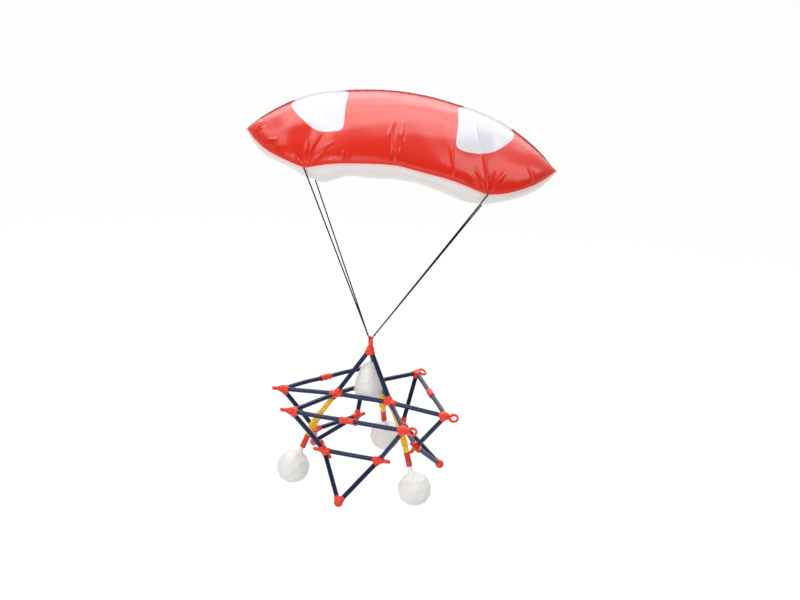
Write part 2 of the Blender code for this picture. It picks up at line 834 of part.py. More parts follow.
def line(name):
    """A taut line from the top of its side's knot to beside the wing's seam."""
    end = line_end(*LINE_ENDS[name])
    centre, axis = knot_place(name.rpartition("_")[2])
    top = centre + axis * KNOT_HEIGHT
    away = end - top
    side = (away - axis * away.dot(axis)).normalized()
    lean = (end - top).angle(axis)
    start = top + side * (LINE_RADIUS + FIT) + axis * (FIT + LINE_RADIUS * math.sin(lean))
    steps = LINE_POINTS - 1
    return bent_rod([start.lerp(end, number / steps) for number in range(LINE_POINTS)])


def knot(side):
    """A drop-shaped knot: a ball that widens to the flat top where its two lines stand."""
    centre, axis = knot_place(side)
    mesh = turned([
        (0.0, KNOT_HEIGHT),
        (KNOT_TOP_RADIUS, KNOT_HEIGHT),
        (KNOT_RADIUS, KNOT_RADIUS / 2.0),
        (KNOT_RADIUS, -KNOT_RADIUS / 2.0),
        (KNOT_RADIUS / 2.0, -KNOT_RADIUS),
        (0.0, -KNOT_RADIUS),
    ], KNOT_STEPS)
    mesh.transform(aimed(axis, centre))
    return mesh


def line_loop():
    """The loop that hangs from the two knots and passes under the apex ring's top."""
    bend_radius = RING_TUBE_RADIUS + FIT + LINE_RADIUS
    reach = math.hypot(KNOT_SIDE, KNOT_RISE)
    touch = math.acos(bend_radius / reach) - math.atan2(KNOT_RISE, KNOT_SIDE)
    knot_point = SWING_POINT + Vector((KNOT_SIDE, 0.0, KNOT_RISE))
    bend = []
    for number in range(LOOP_STEPS):
        angle = -touch - (math.pi - 2.0 * touch) * number / (LOOP_STEPS - 1)
        across, rise = bend_radius * math.cos(angle), bend_radius * math.sin(angle)
        bend.append(SWING_POINT + Vector((across, 0.0, rise)))
    start = knot_point + (bend[0] - knot_point).normalized() * (KNOT_RADIUS + FIT)
    end = start + ACROSS * 2.0 * (SWING_POINT.x - start.x)
    return bent_rod([start, *bend, end])


# Build
def build_wing():
    add_object("upper_film", film(WING_CROWN, FIT / 2.0), "film_red")
    add_object("lower_film", film(-WING_BELLY, -FIT / 2.0), "film_white")
    for name in LINE_ENDS:
        add_object(f"{name}_line", line(name), "line")
    for side in ("left", "right"):
        add_object(f"{side}_line_knot", knot(side), "line")


def build_payload():
    loop_pivot = add_pivot("loop_pivot", KNOT_LINE_POINT)
    add_object("line_loop", line_loop(), "line", loop_pivot, KNOT_LINE_POINT)
    swing = add_pivot("payload_pivot", SWING_POINT - KNOT_LINE_POINT, loop_pivot, PAYLOAD_TURN)
    swing_local = HUBS["apex"] + SWING_POINT - APEX_PLACE
    separate = [name for name in HUBS if name == "apex" or "cradle" in name or "rim" in name]
    for name in separate:
        add_object(f"{name}_connector", connector(name), "connector", swing, swing_local)
    for name, (first, second) in RUNS.items():
        add_object(name, straw_between(first, second), "straw", swing, swing_local)
    for panel in PANELS:
        add_object(f"{panel}_rim_rail", rim_rail(panel), "straw", swing, swing_local)
        add_object(f"{panel}_cross_bar", cross_bar(panel), "connector", swing, swing_local)
        add_object(f"{panel}_tip_vee", tip_vee(panel), "straw", swing, swing_local)
    egg_pivot = add_pivot("egg_pivot", -swing_local, swing)
    add_object("egg_front_shell", egg_half(-1.0), "egg", egg_pivot)
    add_object("egg_rear_shell", egg_half(1.0), "egg", egg_pivot)
    for leg in LEGS:
        build_leg(leg, swing, swing_local)


def build_leg(leg, swing, swing_local):
    hub, bend, foot = leg_places(leg)
    upper = leg_direction(leg, LEG_UPPER_SLOPE)
    lower = leg_direction(leg, LEG_LOWER_SLOPE)
    first = COLLAR_REACH + FIT
    length = LEG_UPPER_LENGTH - BELLOWS_LENGTH / 2.0 - first
    mesh, place = tube(length, hub + upper * first, upper)
    mesh.transform(place)
    add_object(f"{leg}_leg_upper_straw", mesh, "bendy", swing, swing_local)
    add_object(f"{leg}_leg_bellows", bellows(leg), "bendy", swing, swing_local)
    pivot = add_pivot(f"{leg}_leg_pivot", bend - swing_local, swing)
    mesh = leg_end()
    mesh.transform(aimed(-lower, bend + lower * SLEEVE_START))
    add_object(f"{leg}_leg_sleeve", mesh, "bendy", pivot, bend)
    mesh = ball_foot()
    mesh.transform(aimed(-lower, foot))
    add_object(f"{leg}_ball_foot", mesh, "ball", pivot, bend)


build_wing()
build_payload()
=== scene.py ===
"""Toy parachute, its looks: an inflated film wing on four taut lines, and below it a frame of
straws and moulded connectors that cradles an egg capsule on three bendy legs.

Metres, +Z up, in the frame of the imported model.  The wing's shape and the payload's hub
places repeat the values of the part's source, because this script reads only the frame.
"""
from __future__ import annotations

import logging  # noqa: E402
import math  # noqa: E402
from dataclasses import dataclass, field  # noqa: E402
from enum import Enum  # noqa: E402

import bmesh  # noqa: E402
import bpy  # noqa: E402
import numpy as np  # noqa: E402
from mathutils import Euler, Matrix, Vector  # noqa: E402

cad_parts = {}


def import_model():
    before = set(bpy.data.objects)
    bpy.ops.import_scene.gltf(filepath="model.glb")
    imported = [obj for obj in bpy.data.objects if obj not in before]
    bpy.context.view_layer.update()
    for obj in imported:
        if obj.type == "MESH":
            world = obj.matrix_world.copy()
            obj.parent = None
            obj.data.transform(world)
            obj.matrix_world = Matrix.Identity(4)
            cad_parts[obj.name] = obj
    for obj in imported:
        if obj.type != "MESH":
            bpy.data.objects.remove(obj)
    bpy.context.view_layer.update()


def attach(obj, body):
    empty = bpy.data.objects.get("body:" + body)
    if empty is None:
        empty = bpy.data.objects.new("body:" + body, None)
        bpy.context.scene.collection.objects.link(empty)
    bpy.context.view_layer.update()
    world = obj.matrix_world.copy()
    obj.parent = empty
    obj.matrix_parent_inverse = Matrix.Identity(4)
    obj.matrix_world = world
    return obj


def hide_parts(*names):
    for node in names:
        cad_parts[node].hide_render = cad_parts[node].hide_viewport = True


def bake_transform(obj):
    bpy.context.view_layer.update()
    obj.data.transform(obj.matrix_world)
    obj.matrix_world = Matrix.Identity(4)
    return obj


LOG = logging.getLogger("toy_parachute")
MM = 0.001
WHITE = (1.0, 1.0, 1.0, 1.0)


class Body(Enum):
    """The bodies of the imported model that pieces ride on."""

    CANOPY = "canopy"
    LOOP = "loop"
    PAYLOAD = "payload"
    EGG = "egg"
    LEFT_LEG = "left_leg"
    RIGHT_LEG = "right_leg"
    BACK_LEG = "back_leg"


class Film(Enum):
    """The two films that are sealed together round the wing."""

    UPPER = "upper"
    LOWER = "lower"


class ArmKind(Enum):
    """What a connector's arm ends in."""

    COLLAR = "collar under a straw's end"
    BARE_PEG = "peg with no straw on it"
    RING = "ring for a line or a hook"
    LINE_RING = "ring at the apex, farther out"


# Small helpers for meshes
@dataclass
class Surface:
    """Corners, faces and, where a pattern needs them, millimetres along and around."""

    corners: np.ndarray
    faces: list[tuple[int, ...]]
    run_mm: list[tuple[float, float]] | None = None


def unit(vector: np.ndarray) -> np.ndarray:
    """The vector, or each row of an array, made one long."""
    return vector / np.maximum(np.linalg.norm(vector, axis=-1, keepdims=True), 1e-12)


def smooth_step(value: np.ndarray, low: float, high: float) -> np.ndarray:
    """A ramp from 0 at low to 1 at high that starts and ends level."""
    share = np.clip((value - low) / (high - low), 0.0, 1.0)
    return share * share * (3.0 - 2.0 * share)


def path_frames(
    path: np.ndarray, straight: np.ndarray | None = None,
) -> tuple[np.ndarray, np.ndarray]:
    """Two directions square to a path at each of its points, which don't spin along it.

    Args:
        path: the points, one a row.
        straight: a straight path's direction, needed where two of its points are one.

    Returns:
        The first and second direction at each point.
    """
    if straight is None:
        along = unit(np.gradient(path, axis=0))
    else:
        along = np.tile(straight, (len(path), 1))
    side = np.cross(along[0], (0.0, 0.0, 1.0))
    if np.linalg.norm(side) < 0.1:
        side = np.cross(along[0], (0.0, 1.0, 0.0))
    sides = []
    for tangent in along:
        side = side - tangent * float(side @ tangent)
        side = side / np.linalg.norm(side)
        sides.append(side)
    first = np.array(sides)
    return first, np.cross(along, first)


def rings_along(
    path: np.ndarray, radii: np.ndarray, sides: int, flats: float = 0.0,
    straight: np.ndarray | None = None,
) -> np.ndarray:
    """Rings of points about a path.

    Args:
        path: the middle of each ring, one a row.
        radii: each ring's radius.
        sides: how many points a ring has.
        flats: from 0 for a round ring to 1 for one with eight flats.
        straight: a straight path's direction, needed where two rings share a place.

    Returns:
        An array of rings by points by coordinates.
    """
    first, second = path_frames(path, straight)
    angle = np.arange(sides) * 2.0 * math.pi / sides
    eighth = math.pi / 4.0
    flat = math.cos(eighth / 2.0) / np.cos(angle % eighth - eighth / 2.0)
    shape = 1.0 + flats * (flat - 1.0)
    spread = first[:, None] * np.cos(angle)[None, :, None]
    spread = spread + second[:, None] * np.sin(angle)[None, :, None]
    return path[:, None] + spread * radii[:, None, None] * shape[None, :, None]


def lofted(rings: np.ndarray, closed: bool, reach: np.ndarray, radius: float) -> Surface:
    """Quads between neighbouring rings.

    Args:
        rings: rings by points by coordinates.
        closed: whether the last ring joins the first; otherwise both ends are capped.
        reach: how far along its path each ring is.
        radius: the radius that the distance around is measured at.

    Returns:
        The surface, with its pattern's millimetres.
    """
    count, sides = rings.shape[:2]
    faces: list[tuple[int, ...]] = []
    run: list[tuple[float, float]] = []
    step = 2.0 * math.pi * radius / sides / MM
    for ring in range(count if closed else count - 1):
        after = (ring + 1) % count
        near, far = reach[ring] / MM, reach[after] / MM
        for side in range(sides):
            beside = (side + 1) % sides
            faces.append((
                ring * sides + side, ring * sides + beside,
                after * sides + beside, after * sides + side,
            ))
            run += [(side * step, near), ((side + 1) * step, near)]
            run += [((side + 1) * step, far), (side * step, far)]
    if not closed:
        faces.append(tuple(range(sides))[::-1])
        faces.append(tuple(range((count - 1) * sides, count * sides)))
        run += [(0.0, 0.0)] * sides * 2
    return Surface(rings.reshape(-1, 3), faces, run)


def quads(*corners: np.ndarray) -> list[tuple[int, ...]]:
    """Faces from four arrays of corner numbers, which go round each face in their order."""
    table = np.stack([part.ravel() for part in corners], axis=-1)
    return [tuple(face) for face in table.tolist()]


def distance_along(path: np.ndarray) -> np.ndarray:
    """How far along a path each of its points is."""
    steps = np.linalg.norm(np.diff(path, axis=0), axis=1)
    return np.concatenate([[0.0], np.cumsum(steps)])


def rod(path: np.ndarray, radii: np.ndarray, sides: int) -> Surface:
    """A solid rod about a path, capped at both ends."""
    rings = rings_along(path, radii, sides)
    return lofted(rings, False, distance_along(path), float(radii.max()))


def pipe(
    path: np.ndarray, radii: np.ndarray, wall: float, sides: int, flats: float = 0.0,
) -> Surface:
    """A hollow pipe about a path, open at both ends, with the thickness of its wall showing.

    Args:
        path: the middle of each ring, one a row.
        radii: the outer radius at each ring.
        wall: the wall's thickness.
        sides: how many points a ring has.
        flats: from 0 for a round pipe to 1 for one with eight flats.

    Returns:
        The surface, with its pattern's millimetres.
    """
    outer = rings_along(path, radii, sides, flats)
    inner = rings_along(path, radii - wall, sides)[::-1]
    reach = distance_along(path)
    return lofted(
        np.concatenate([outer, inner]), True, np.concatenate([reach, reach[::-1]]),
        float(radii.max()),
    )


def lathe(profile: list[tuple[float, float]], sides: int, place: Matrix) -> Surface:
    """A solid of revolution.

    Args:
        profile: (radius, height) points, from bottom to top.
        sides: how many sides it has.
        place: where its origin and its axis are.

    Returns:
        The surface, capped at both ends.
    """
    angle = np.arange(sides) * 2.0 * math.pi / sides
    rings = np.array([
        np.stack([r * np.cos(angle), r * np.sin(angle), np.full(sides, z)], axis=-1)
        for r, z in profile
    ])
    matrix = np.array(place)
    rings = rings @ matrix[:3, :3].T + matrix[:3, 3]
    reach = np.array([z for _, z in profile])
    return lofted(rings, False, reach, max(r for r, _ in profile))


def to_mesh(name: str, surface: Surface, crisp: float = 50.0) -> bpy.types.Mesh:
    """A Blender mesh of a surface, its faces outward and smooth but for edges sharper than crisp.

    Args:
        name: the mesh's name.
        surface: what it is made of.
        crisp: the angle in degrees from which an edge stays sharp.

    Returns:
        The mesh.
    """
    mesh = bpy.data.meshes.new(name)
    mesh.from_pydata(surface.corners.tolist(), [], surface.faces)
    if surface.run_mm is not None:
        layer = mesh.uv_layers.new(name="run_mm")
        layer.data.foreach_set("uv", np.array(surface.run_mm, dtype=np.float32).ravel())
    work = bmesh.new()
    work.from_mesh(mesh)
    bmesh.ops.recalc_face_normals(work, faces=work.faces)
    work.to_mesh(mesh)
    work.free()
    mesh.polygons.foreach_set("use_smooth", [True] * len(mesh.polygons))
    mesh.set_sharp_from_angle(angle=math.radians(crisp))
    return mesh


def placed_along(middle: np.ndarray, along: np.ndarray) -> Matrix:
    """The matrix that puts a shape's origin at a point and its upright along a direction."""
    turn = Vector(along).to_track_quat("Z", "Y").to_matrix().to_4x4()
    return Matrix.Translation(middle.tolist()) @ turn


def in_scene(name: str, data: bpy.types.ID) -> bpy.types.Object:
    """A new object in the scene that shows a mesh, curve, lamp or camera."""
    made = bpy.data.objects.new(name, data)
    bpy.context.scene.collection.objects.link(made)
    return made


def evaluated(made: bpy.types.Object) -> bpy.types.Mesh:
    """The mesh that an object's modifiers give; the object itself is removed.

    Args:
        made: an object in the scene.

    Returns:
        The new mesh.
    """
    bpy.context.view_layer.update()
    graph = bpy.context.evaluated_depsgraph_get()
    mesh = bpy.data.meshes.new_from_object(made.evaluated_get(graph))
    bpy.data.objects.remove(made, do_unlink=True)
    return mesh


def add_piece(
    name: str,
    mesh: bpy.types.Mesh,
    finish: bpy.types.Material,
    body: Body,
    nodes: tuple[str, ...] = (),
) -> bpy.types.Object:
    """Puts a mesh into the scene as a piece that rides on a body.

    Args:
        name: the piece's name.
        mesh: its mesh, in the part's frame.
        finish: its material.
        body: the body that it rides on.
        nodes: the CAD nodes that it stands for.

    Returns:
        The object.
    """
    made = in_scene(name, mesh)
    mesh.materials.clear()
    mesh.materials.append(finish)
    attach(made, body.value)
    if nodes:
        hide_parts(*nodes)
    LOG.info("%s: %d faces on %s", name, len(mesh.polygons), body.value)
    return made


# Finishes
def linear(code: str) -> tuple[float, float, float, float]:
    """A colour as the linear values that sockets take.

    Args:
        code: the colour as sRGB hex, such as #E2402A.

    Returns:
        Red, green, blue and an alpha of 1.
    """
    parts = [int(code[place:place + 2], 16) / 255.0 for place in (1, 3, 5)]
    red, green, blue = [
        part / 12.92 if part <= 0.04045 else ((part + 0.055) / 1.055) ** 2.4 for part in parts
    ]
    return red, green, blue, 1.0


def per_metre(size_mm: float) -> float:
    """The texture scale in a frame of metres whose pattern repeats after size_mm."""
    return 1000.0 / size_mm


def add_node(
    tree: bpy.types.NodeTree,
    kind: str,
    settings: dict[str, object] | None = None,
    values: dict[str | int, object] | None = None,
    links: dict[str | int, bpy.types.NodeSocket] | None = None,
    stops: tuple[tuple[float, str], ...] = (),
) -> bpy.types.Node:
    """Adds one node to a material.

    Args:
        tree: the material's node tree.
        kind: the node's type.
        settings: the node's own properties, by name.
        values: constants for its input sockets, by name or number.
        links: outputs that feed its input sockets, by name or number.
        stops: a colour ramp's two ends, as (place, sRGB hex).

    Returns:
        The node.
    """
    node = tree.nodes.new(kind)
    for name, value in (settings or {}).items():
        setattr(node, name, value)
    for socket, value in (values or {}).items():
        node.inputs[socket].default_value = value
    for socket, source in (links or {}).items():
        tree.links.new(source, node.inputs[socket])
    if stops:
        for element, (place, code) in zip(node.color_ramp.elements, stops):
            element.position = place
            element.color = linear(code)
    return node


def new_finish(name: str) -> tuple[bpy.types.Material, bpy.types.NodeTree]:
    """An empty material and its tree."""
    material = bpy.data.materials.new(name)
    material.use_nodes = True
    material.node_tree.nodes.clear()
    return material, material.node_tree


def close_finish(
    tree: bpy.types.NodeTree,
    values: dict[str | int, object],
    links: dict[str | int, bpy.types.NodeSocket],
) -> None:
    """Ends a material with its shader and output.

    Args:
        tree: the material's node tree.
        values: the shader's constants.
        links: what feeds the shader's sockets.
    """
    shader = add_node(tree, "ShaderNodeBsdfPrincipled", values=values, links=links)
    add_node(tree, "ShaderNodeOutputMaterial", links={"Surface": shader.outputs["BSDF"]})


@dataclass(frozen=True)
class SealedFilm:
    """Polyester film, printed on one face and heat-sealed round its edge, then blown up.

    It mirrors lamps in soft-edged patches that break up on its wrinkles, and the seal is a
    narrow flat band, a little duller than the film.  Behind the front, the seal's colour is
    darkened as painted shade.
    """

    name: str
    print_colour: str = "#DE2812"
    bare_colour: str = "#DEDBE2"
    # Painted shade: the seal's colour behind the front is darker than the film, in place of the
    # shade on the seal seen edge-on
    shaded_seal_colour: str = "#A8322A"
    front_seal_colour: str = "#F4CFCA"
    roughness: float = 0.21
    seal_roughness: float = 0.55
    refraction: float = 1.43
    crinkle_mm: float = 6.0
    crinkle_depth: float = 0.00010
    crinkle_fineness: float = 0.45
    edge_mm: float = 0.35

    def material(self) -> bpy.types.Material:
        """Builds the material from the film's panel and seal attributes, both in millimetres."""
        made, tree = new_finish(self.name)
        panel = add_node(tree, "ShaderNodeAttribute", {"attribute_name": "panel_mm"})
        seal = add_node(tree, "ShaderNodeAttribute", {"attribute_name": "seal_mm"})
        front = add_node(tree, "ShaderNodeAttribute", {"attribute_name": "front_share"})
        inside = add_node(
            tree, "ShaderNodeMapRange", {"clamp": True},
            {"From Min": -self.edge_mm, "From Max": self.edge_mm},
            {"Value": panel.outputs["Fac"]},
        )
        on_seal = add_node(
            tree, "ShaderNodeMapRange", {"clamp": True},
            {"From Min": 0.0, "From Max": self.edge_mm},
            {"Value": seal.outputs["Fac"]},
        )
        # The seal takes the painted shade colour behind the front, and the front seal colour along
        # the front
        sealed = add_node(
            tree, "ShaderNodeMix", {"data_type": "RGBA"},
            {6: linear(self.shaded_seal_colour), 7: linear(self.front_seal_colour)},
            {0: front.outputs["Fac"]},
        )
        face, rim = (
            add_node(
                tree, "ShaderNodeMix", {"data_type": "RGBA"}, {7: linear(self.bare_colour)},
                {0: inside.outputs[0]},
            )
            for _ in range(2)
        )
        face.inputs[6].default_value = linear(self.print_colour)
        tree.links.new(sealed.outputs[2], rim.inputs[6])
        colour = add_node(
            tree, "ShaderNodeMix", {"data_type": "RGBA"}, None,
            {0: on_seal.outputs[0], 6: face.outputs[2], 7: rim.outputs[2]},
        )
        dullness = add_node(
            tree, "ShaderNodeMapRange", {"clamp": True},
            {
                "From Min": 0.0, "From Max": self.edge_mm,
                "To Min": self.roughness, "To Max": self.seal_roughness,
            },
            {"Value": seal.outputs["Fac"]},
        )
        place = add_node(tree, "ShaderNodeTexCoord")
        crinkle = add_node(
            tree, "ShaderNodeTexNoise", None,
            {
                "Scale": per_metre(self.crinkle_mm), "Detail": 2.0,
                "Roughness": self.crinkle_fineness,
            },
            {"Vector": place.outputs["Object"]},
        )
        bump = add_node(
            tree, "ShaderNodeBump", None, {"Strength": 1.0, "Distance": self.crinkle_depth},
            {"Height": crinkle.outputs["Fac"]},
        )
        close_finish(
            tree, {"IOR": self.refraction},
            {
                "Base Color": colour.outputs[2], "Roughness": dullness.outputs[0],
                "Normal": bump.outputs["Normal"],
            },
        )
        return made


@dataclass(frozen=True)
class ExtrudedStraw:
    """Polypropylene straw, extruded: satin, with fine lines along it from the die.

    The lines break each highlight up along the straw.  The navy one has the bluish bloom that
    dark polypropylene shows under a lamp.
    """

    name: str
    colour: str
    pale_colour: str
    roughness: float = 0.30
    gloss_tint: str = "#FFFFFF"
    refraction: float = 1.49
    bloom: float = 0.0
    bloom_tint: str = "#FFFFFF"
    bloom_roughness: float = 0.4
    line_mm: float = 0.7
    line_run_mm: float = 30.0
    line_depth: float = 0.00002

    def material(self) -> bpy.types.Material:
        """Builds the material from the straw's millimetres around and along."""
        made, tree = new_finish(self.name)
        place = add_node(tree, "ShaderNodeUVMap", {"uv_map": "run_mm"})
        stretched = add_node(
            tree, "ShaderNodeVectorMath", {"operation": "MULTIPLY"},
            {1: (1.0 / self.line_mm, 1.0 / self.line_run_mm, 1.0)},
            {0: place.outputs["UV"]},
        )
        lines = add_node(
            tree, "ShaderNodeTexNoise", None, {"Scale": 1.0, "Detail": 2.0},
            {"Vector": stretched.outputs["Vector"]},
        )
        colour = add_node(
            tree, "ShaderNodeValToRGB", links={"Fac": lines.outputs["Fac"]},
            stops=((0.35, self.colour), (0.75, self.pale_colour)),
        )
        bump = add_node(
            tree, "ShaderNodeBump", None, {"Strength": 1.0, "Distance": self.line_depth},
            {"Height": lines.outputs["Fac"]},
        )
        close_finish(
            tree,
            {
                "Roughness": self.roughness, "IOR": self.refraction,
                "Specular Tint": linear(self.gloss_tint), "Sheen Weight": self.bloom,
                "Sheen Roughness": self.bloom_roughness, "Sheen Tint": linear(self.bloom_tint),
            },
            {"Base Color": colour.outputs["Color"], "Normal": bump.outputs["Normal"]},
        )
        return made


@dataclass(frozen=True)
class MouldedPlastic:
    """Injection-moulded plastic: an even colour, a satin skin and a faint orange-peel ripple."""

    name: str
    colour: str
    deep_colour: str
    roughness: float
    refraction: float
    peel_mm: float
    peel_depth: float
    glow: float = 0.0
    glow_depth: float = 0.002
    peels_per_cloud: float = 12.0

    def material(self) -> bpy.types.Material:
        """Builds the material; glow is the share of light that enters and leaves again."""
        made, tree = new_finish(self.name)
        place = add_node(tree, "ShaderNodeTexCoord")
        clouds = add_node(
            tree, "ShaderNodeTexNoise", None,
            {"Scale": per_metre(self.peel_mm * self.peels_per_cloud), "Detail": 2.0},
            {"Vector": place.outputs["Object"]},
        )
        colour = add_node(
            tree, "ShaderNodeValToRGB", links={"Fac": clouds.outputs["Fac"]},
            stops=((0.3, self.colour), (0.75, self.deep_colour)),
        )
        peel = add_node(
            tree, "ShaderNodeTexNoise", None,
            {"Scale": per_metre(self.peel_mm), "Detail": 1.0},
            {"Vector": place.outputs["Object"]},
        )
        bump = add_node(
            tree, "ShaderNodeBump", None, {"Strength": 1.0, "Distance": self.peel_depth},
            {"Height": peel.outputs["Fac"]},
        )
        values: dict[str | int, object] = {
            "Roughness": self.roughness, "IOR": self.refraction,
        }
        if self.glow:
            values["Subsurface Weight"] = self.glow
            values["Subsurface Scale"] = self.glow_depth
            values["Subsurface Radius"] = linear(self.colour)[:3]
        close_finish(
            tree, values, {"Base Color": colour.outputs["Color"], "Normal": bump.outputs["Normal"]},
        )
        return made


@dataclass(frozen=True)
class BraidedCord:
    """Thin braided polyester cord: dull, with the braid's slanting ribs."""

    name: str
    colour: str = "#0A0807"
    high_colour: str = "#1C1816"
    braid_mm: float = 1.1
    braid_depth: float = 0.0002
    roughness: float = 0.8
    refraction: float = 1.25

    def material(self) -> bpy.types.Material:
        """Builds the material; the ribs are drawn a little coarser than real ones to show."""
        made, tree = new_finish(self.name)
        place = add_node(tree, "ShaderNodeTexCoord")
        # A wave texture has 20 bands where a noise texture has one pattern
        ribs = add_node(
            tree, "ShaderNodeTexWave", {"wave_type": "BANDS", "bands_direction": "DIAGONAL"},
            {"Scale": per_metre(self.braid_mm) / 20.0, "Distortion": 1.0},
            {"Vector": place.outputs["Object"]},
        )
        colour = add_node(
            tree, "ShaderNodeValToRGB", links={"Fac": ribs.outputs["Fac"]},
            stops=((0.3, self.colour), (0.9, self.high_colour)),
        )
        bump = add_node(
            tree, "ShaderNodeBump", None, {"Strength": 0.6, "Distance": self.braid_depth},
            {"Height": ribs.outputs["Fac"]},
        )
        close_finish(
            tree, {"Roughness": self.roughness, "IOR": self.refraction},
            {"Base Color": colour.outputs["Color"], "Normal": bump.outputs["Normal"]},
        )
        return made


@dataclass(frozen=True)
class PaintedBoard:
    """Painted white board for the floor, matt: it keeps a shadow and shows as white beyond it.

    For scattered light it is plain board.  For the eye and for gloss, glow is how white it is
    by itself, and keep is the share that follows the light on it.
    """

    name: str = "matt white board"
    colour: str = "#F2F2F2"
    glow: float = 0.90
    keep: float = 0.20
    grain_mm: float = 8.0
    grain_depth: float = 0.0005

    def material(self) -> bpy.types.Material:
        """Builds a board that is plain for scattered light and pale for the camera and gloss."""
        made, tree = new_finish(self.name)
        grain = add_node(
            tree, "ShaderNodeTexNoise", None, {"Scale": per_metre(self.grain_mm)},
            {"Vector": add_node(tree, "ShaderNodeTexCoord").outputs["Object"]},
        )
        plain = add_node(
            tree, "ShaderNodeBsdfDiffuse", None, {"Color": linear(self.colour)},
            {"Normal": add_node(
                tree, "ShaderNodeBump", None,
                {"Strength": 0.05, "Distance": self.grain_depth},
                {"Height": grain.outputs["Fac"]},
            ).outputs["Normal"]},
        )
        share = self.keep
        pale = add_node(
            tree, "ShaderNodeBsdfDiffuse", None, {"Color": (share, share, share, 1.0)},
        )
        light = add_node(
            tree, "ShaderNodeEmission", None, {"Color": WHITE, "Strength": self.glow},
        )
        both = add_node(
            tree, "ShaderNodeAddShader", None, None,
            {0: pale.outputs["BSDF"], 1: light.outputs["Emission"]},
        )
        mixed = add_node(
            tree, "ShaderNodeMixShader", None, None,
            {0: seen_by_eye(tree), 1: plain.outputs["BSDF"], 2: both.outputs["Shader"]},
        )
        add_node(tree, "ShaderNodeOutputMaterial", links={"Surface": mixed.outputs["Shader"]})
        return made


def seen_by_eye(tree: bpy.types.NodeTree) -> bpy.types.NodeSocket:
    """Tells the rays that the eye sees by from scattered light.

    Args:
        tree: the node tree of a material or the world.

    Returns:
        An output that is 1 for camera, glossy and transmission rays, and otherwise 0.
    """
    rays = add_node(tree, "ShaderNodeLightPath")
    first = add_node(
        tree, "ShaderNodeMath", {"operation": "MAXIMUM"}, None,
        {0: rays.outputs["Is Camera Ray"], 1: rays.outputs["Is Glossy Ray"]},
    )
    both = add_node(
        tree, "ShaderNodeMath", {"operation": "MAXIMUM"}, None,
        {0: first.outputs[0], 1: rays.outputs["Is Transmission Ray"]},
    )
    return both.outputs[0]


NAVY_STRAW = ExtrudedStraw(
    "navy extruded straw", "#051230", "#0A1C42", roughness=0.26, gloss_tint="#BCCEFF",
    refraction=1.55, bloom=0.1, bloom_tint="#A4B4F0",
)
YELLOW_STRAW = ExtrudedStraw("yellow bendy straw", "#FFC21C", "#FFCE36", roughness=0.28)
RED_CONNECTOR = MouldedPlastic(
    "red-orange polypropylene", "#EA3E20", "#E6381C", 0.34, 1.46, 2.2, 0.000012, 0.12,
)
RED_SLEEVE = MouldedPlastic("red vinyl sleeve", "#D83020", "#D02A1C", 0.42, 1.50, 2.0, 0.00002)
WHITE_SHELL = MouldedPlastic("white ABS", "#F0EFED", "#ECEBE8", 0.38, 1.50, 2.4, 0.00002)
BLACK_CORD = BraidedCord("black braided cord")
PRINTED_FILM = SealedFilm("printed polyester film")
BELLY_FILM = SealedFilm(
    "white polyester film", print_colour="#F2ECE9", bare_colour="#F2ECE9",
    # The rear seal colour is a little darker than the film: painted shade
    shaded_seal_colour="#E6DAD8", front_seal_colour="#EFE2E0",
)


class FinishShelf:
    """Builds each finish once and hands its material out."""

    def __init__(self) -> None:
        """Starts with an empty shelf."""
        self.made: dict[str, bpy.types.Material] = {}

    def get(
        self,
        finish: SealedFilm | ExtrudedStraw | MouldedPlastic | BraidedCord | PaintedBoard,
    ) -> bpy.types.Material:
        """The material of a finish."""
        if finish.name not in self.made:
            self.made[finish.name] = finish.material()
        return self.made[finish.name]


# Camera and studio
@dataclass(frozen=True)
class PhotoCamera:
    """The photograph's own viewpoint: in front of the wing and a little above the payload."""

    place: tuple[float, float, float] = (0.0606, -1.7388, 0.2892)
    turn_degrees: tuple[float, float, float] = (71.8354, -3.2451, 2.8052)
    lens_mm: float = 54.0
    sensor_mm: float = 36.0
    nearest: float = 0.05
    farthest: float = 200.0

    def build(self) -> None:
        """Makes the camera and sets it as the scene's."""
        data = bpy.data.cameras.new("photo_camera")
        data.lens = self.lens_mm
        data.sensor_width = self.sensor_mm
        data.sensor_fit = "HORIZONTAL"
        data.clip_start = self.nearest
        data.clip_end = self.farthest
        camera = in_scene("photo_camera", data)
        camera.location = self.place
        camera.rotation_euler = Euler([math.radians(part) for part in self.turn_degrees])
        bpy.context.scene.camera = camera


@dataclass(frozen=True)
class Softbox:
    """A soft rectangular lamp that looks at a point; a small spread is a grid in front of it."""

    name: str
    place: tuple[float, float, float]
    aim: tuple[float, float, float]
    width: float
    height: float
    brightness: float
    spread_degrees: float = 180.0

    def build(self) -> None:
        """Makes the lamp; brightness is its face's radiance along its middle line."""
        data = bpy.data.lights.new(self.name, "AREA")
        data.shape = "RECTANGLE"
        data.size = self.width
        data.size_y = self.height
        half_spread = math.radians(self.spread_degrees) / 2.0
        data.spread = 2.0 * half_spread
        passed = 1.0 - half_spread / math.tan(half_spread)
        data.energy = self.brightness * self.width * self.height * math.pi * passed
        lamp = in_scene(self.name, data)
        lamp.visible_camera = False
        lamp.location = self.place
        away = Vector(self.place) - Vector(self.aim)
        lamp.rotation_euler = away.to_track_quat("Z", "Y").to_euler()


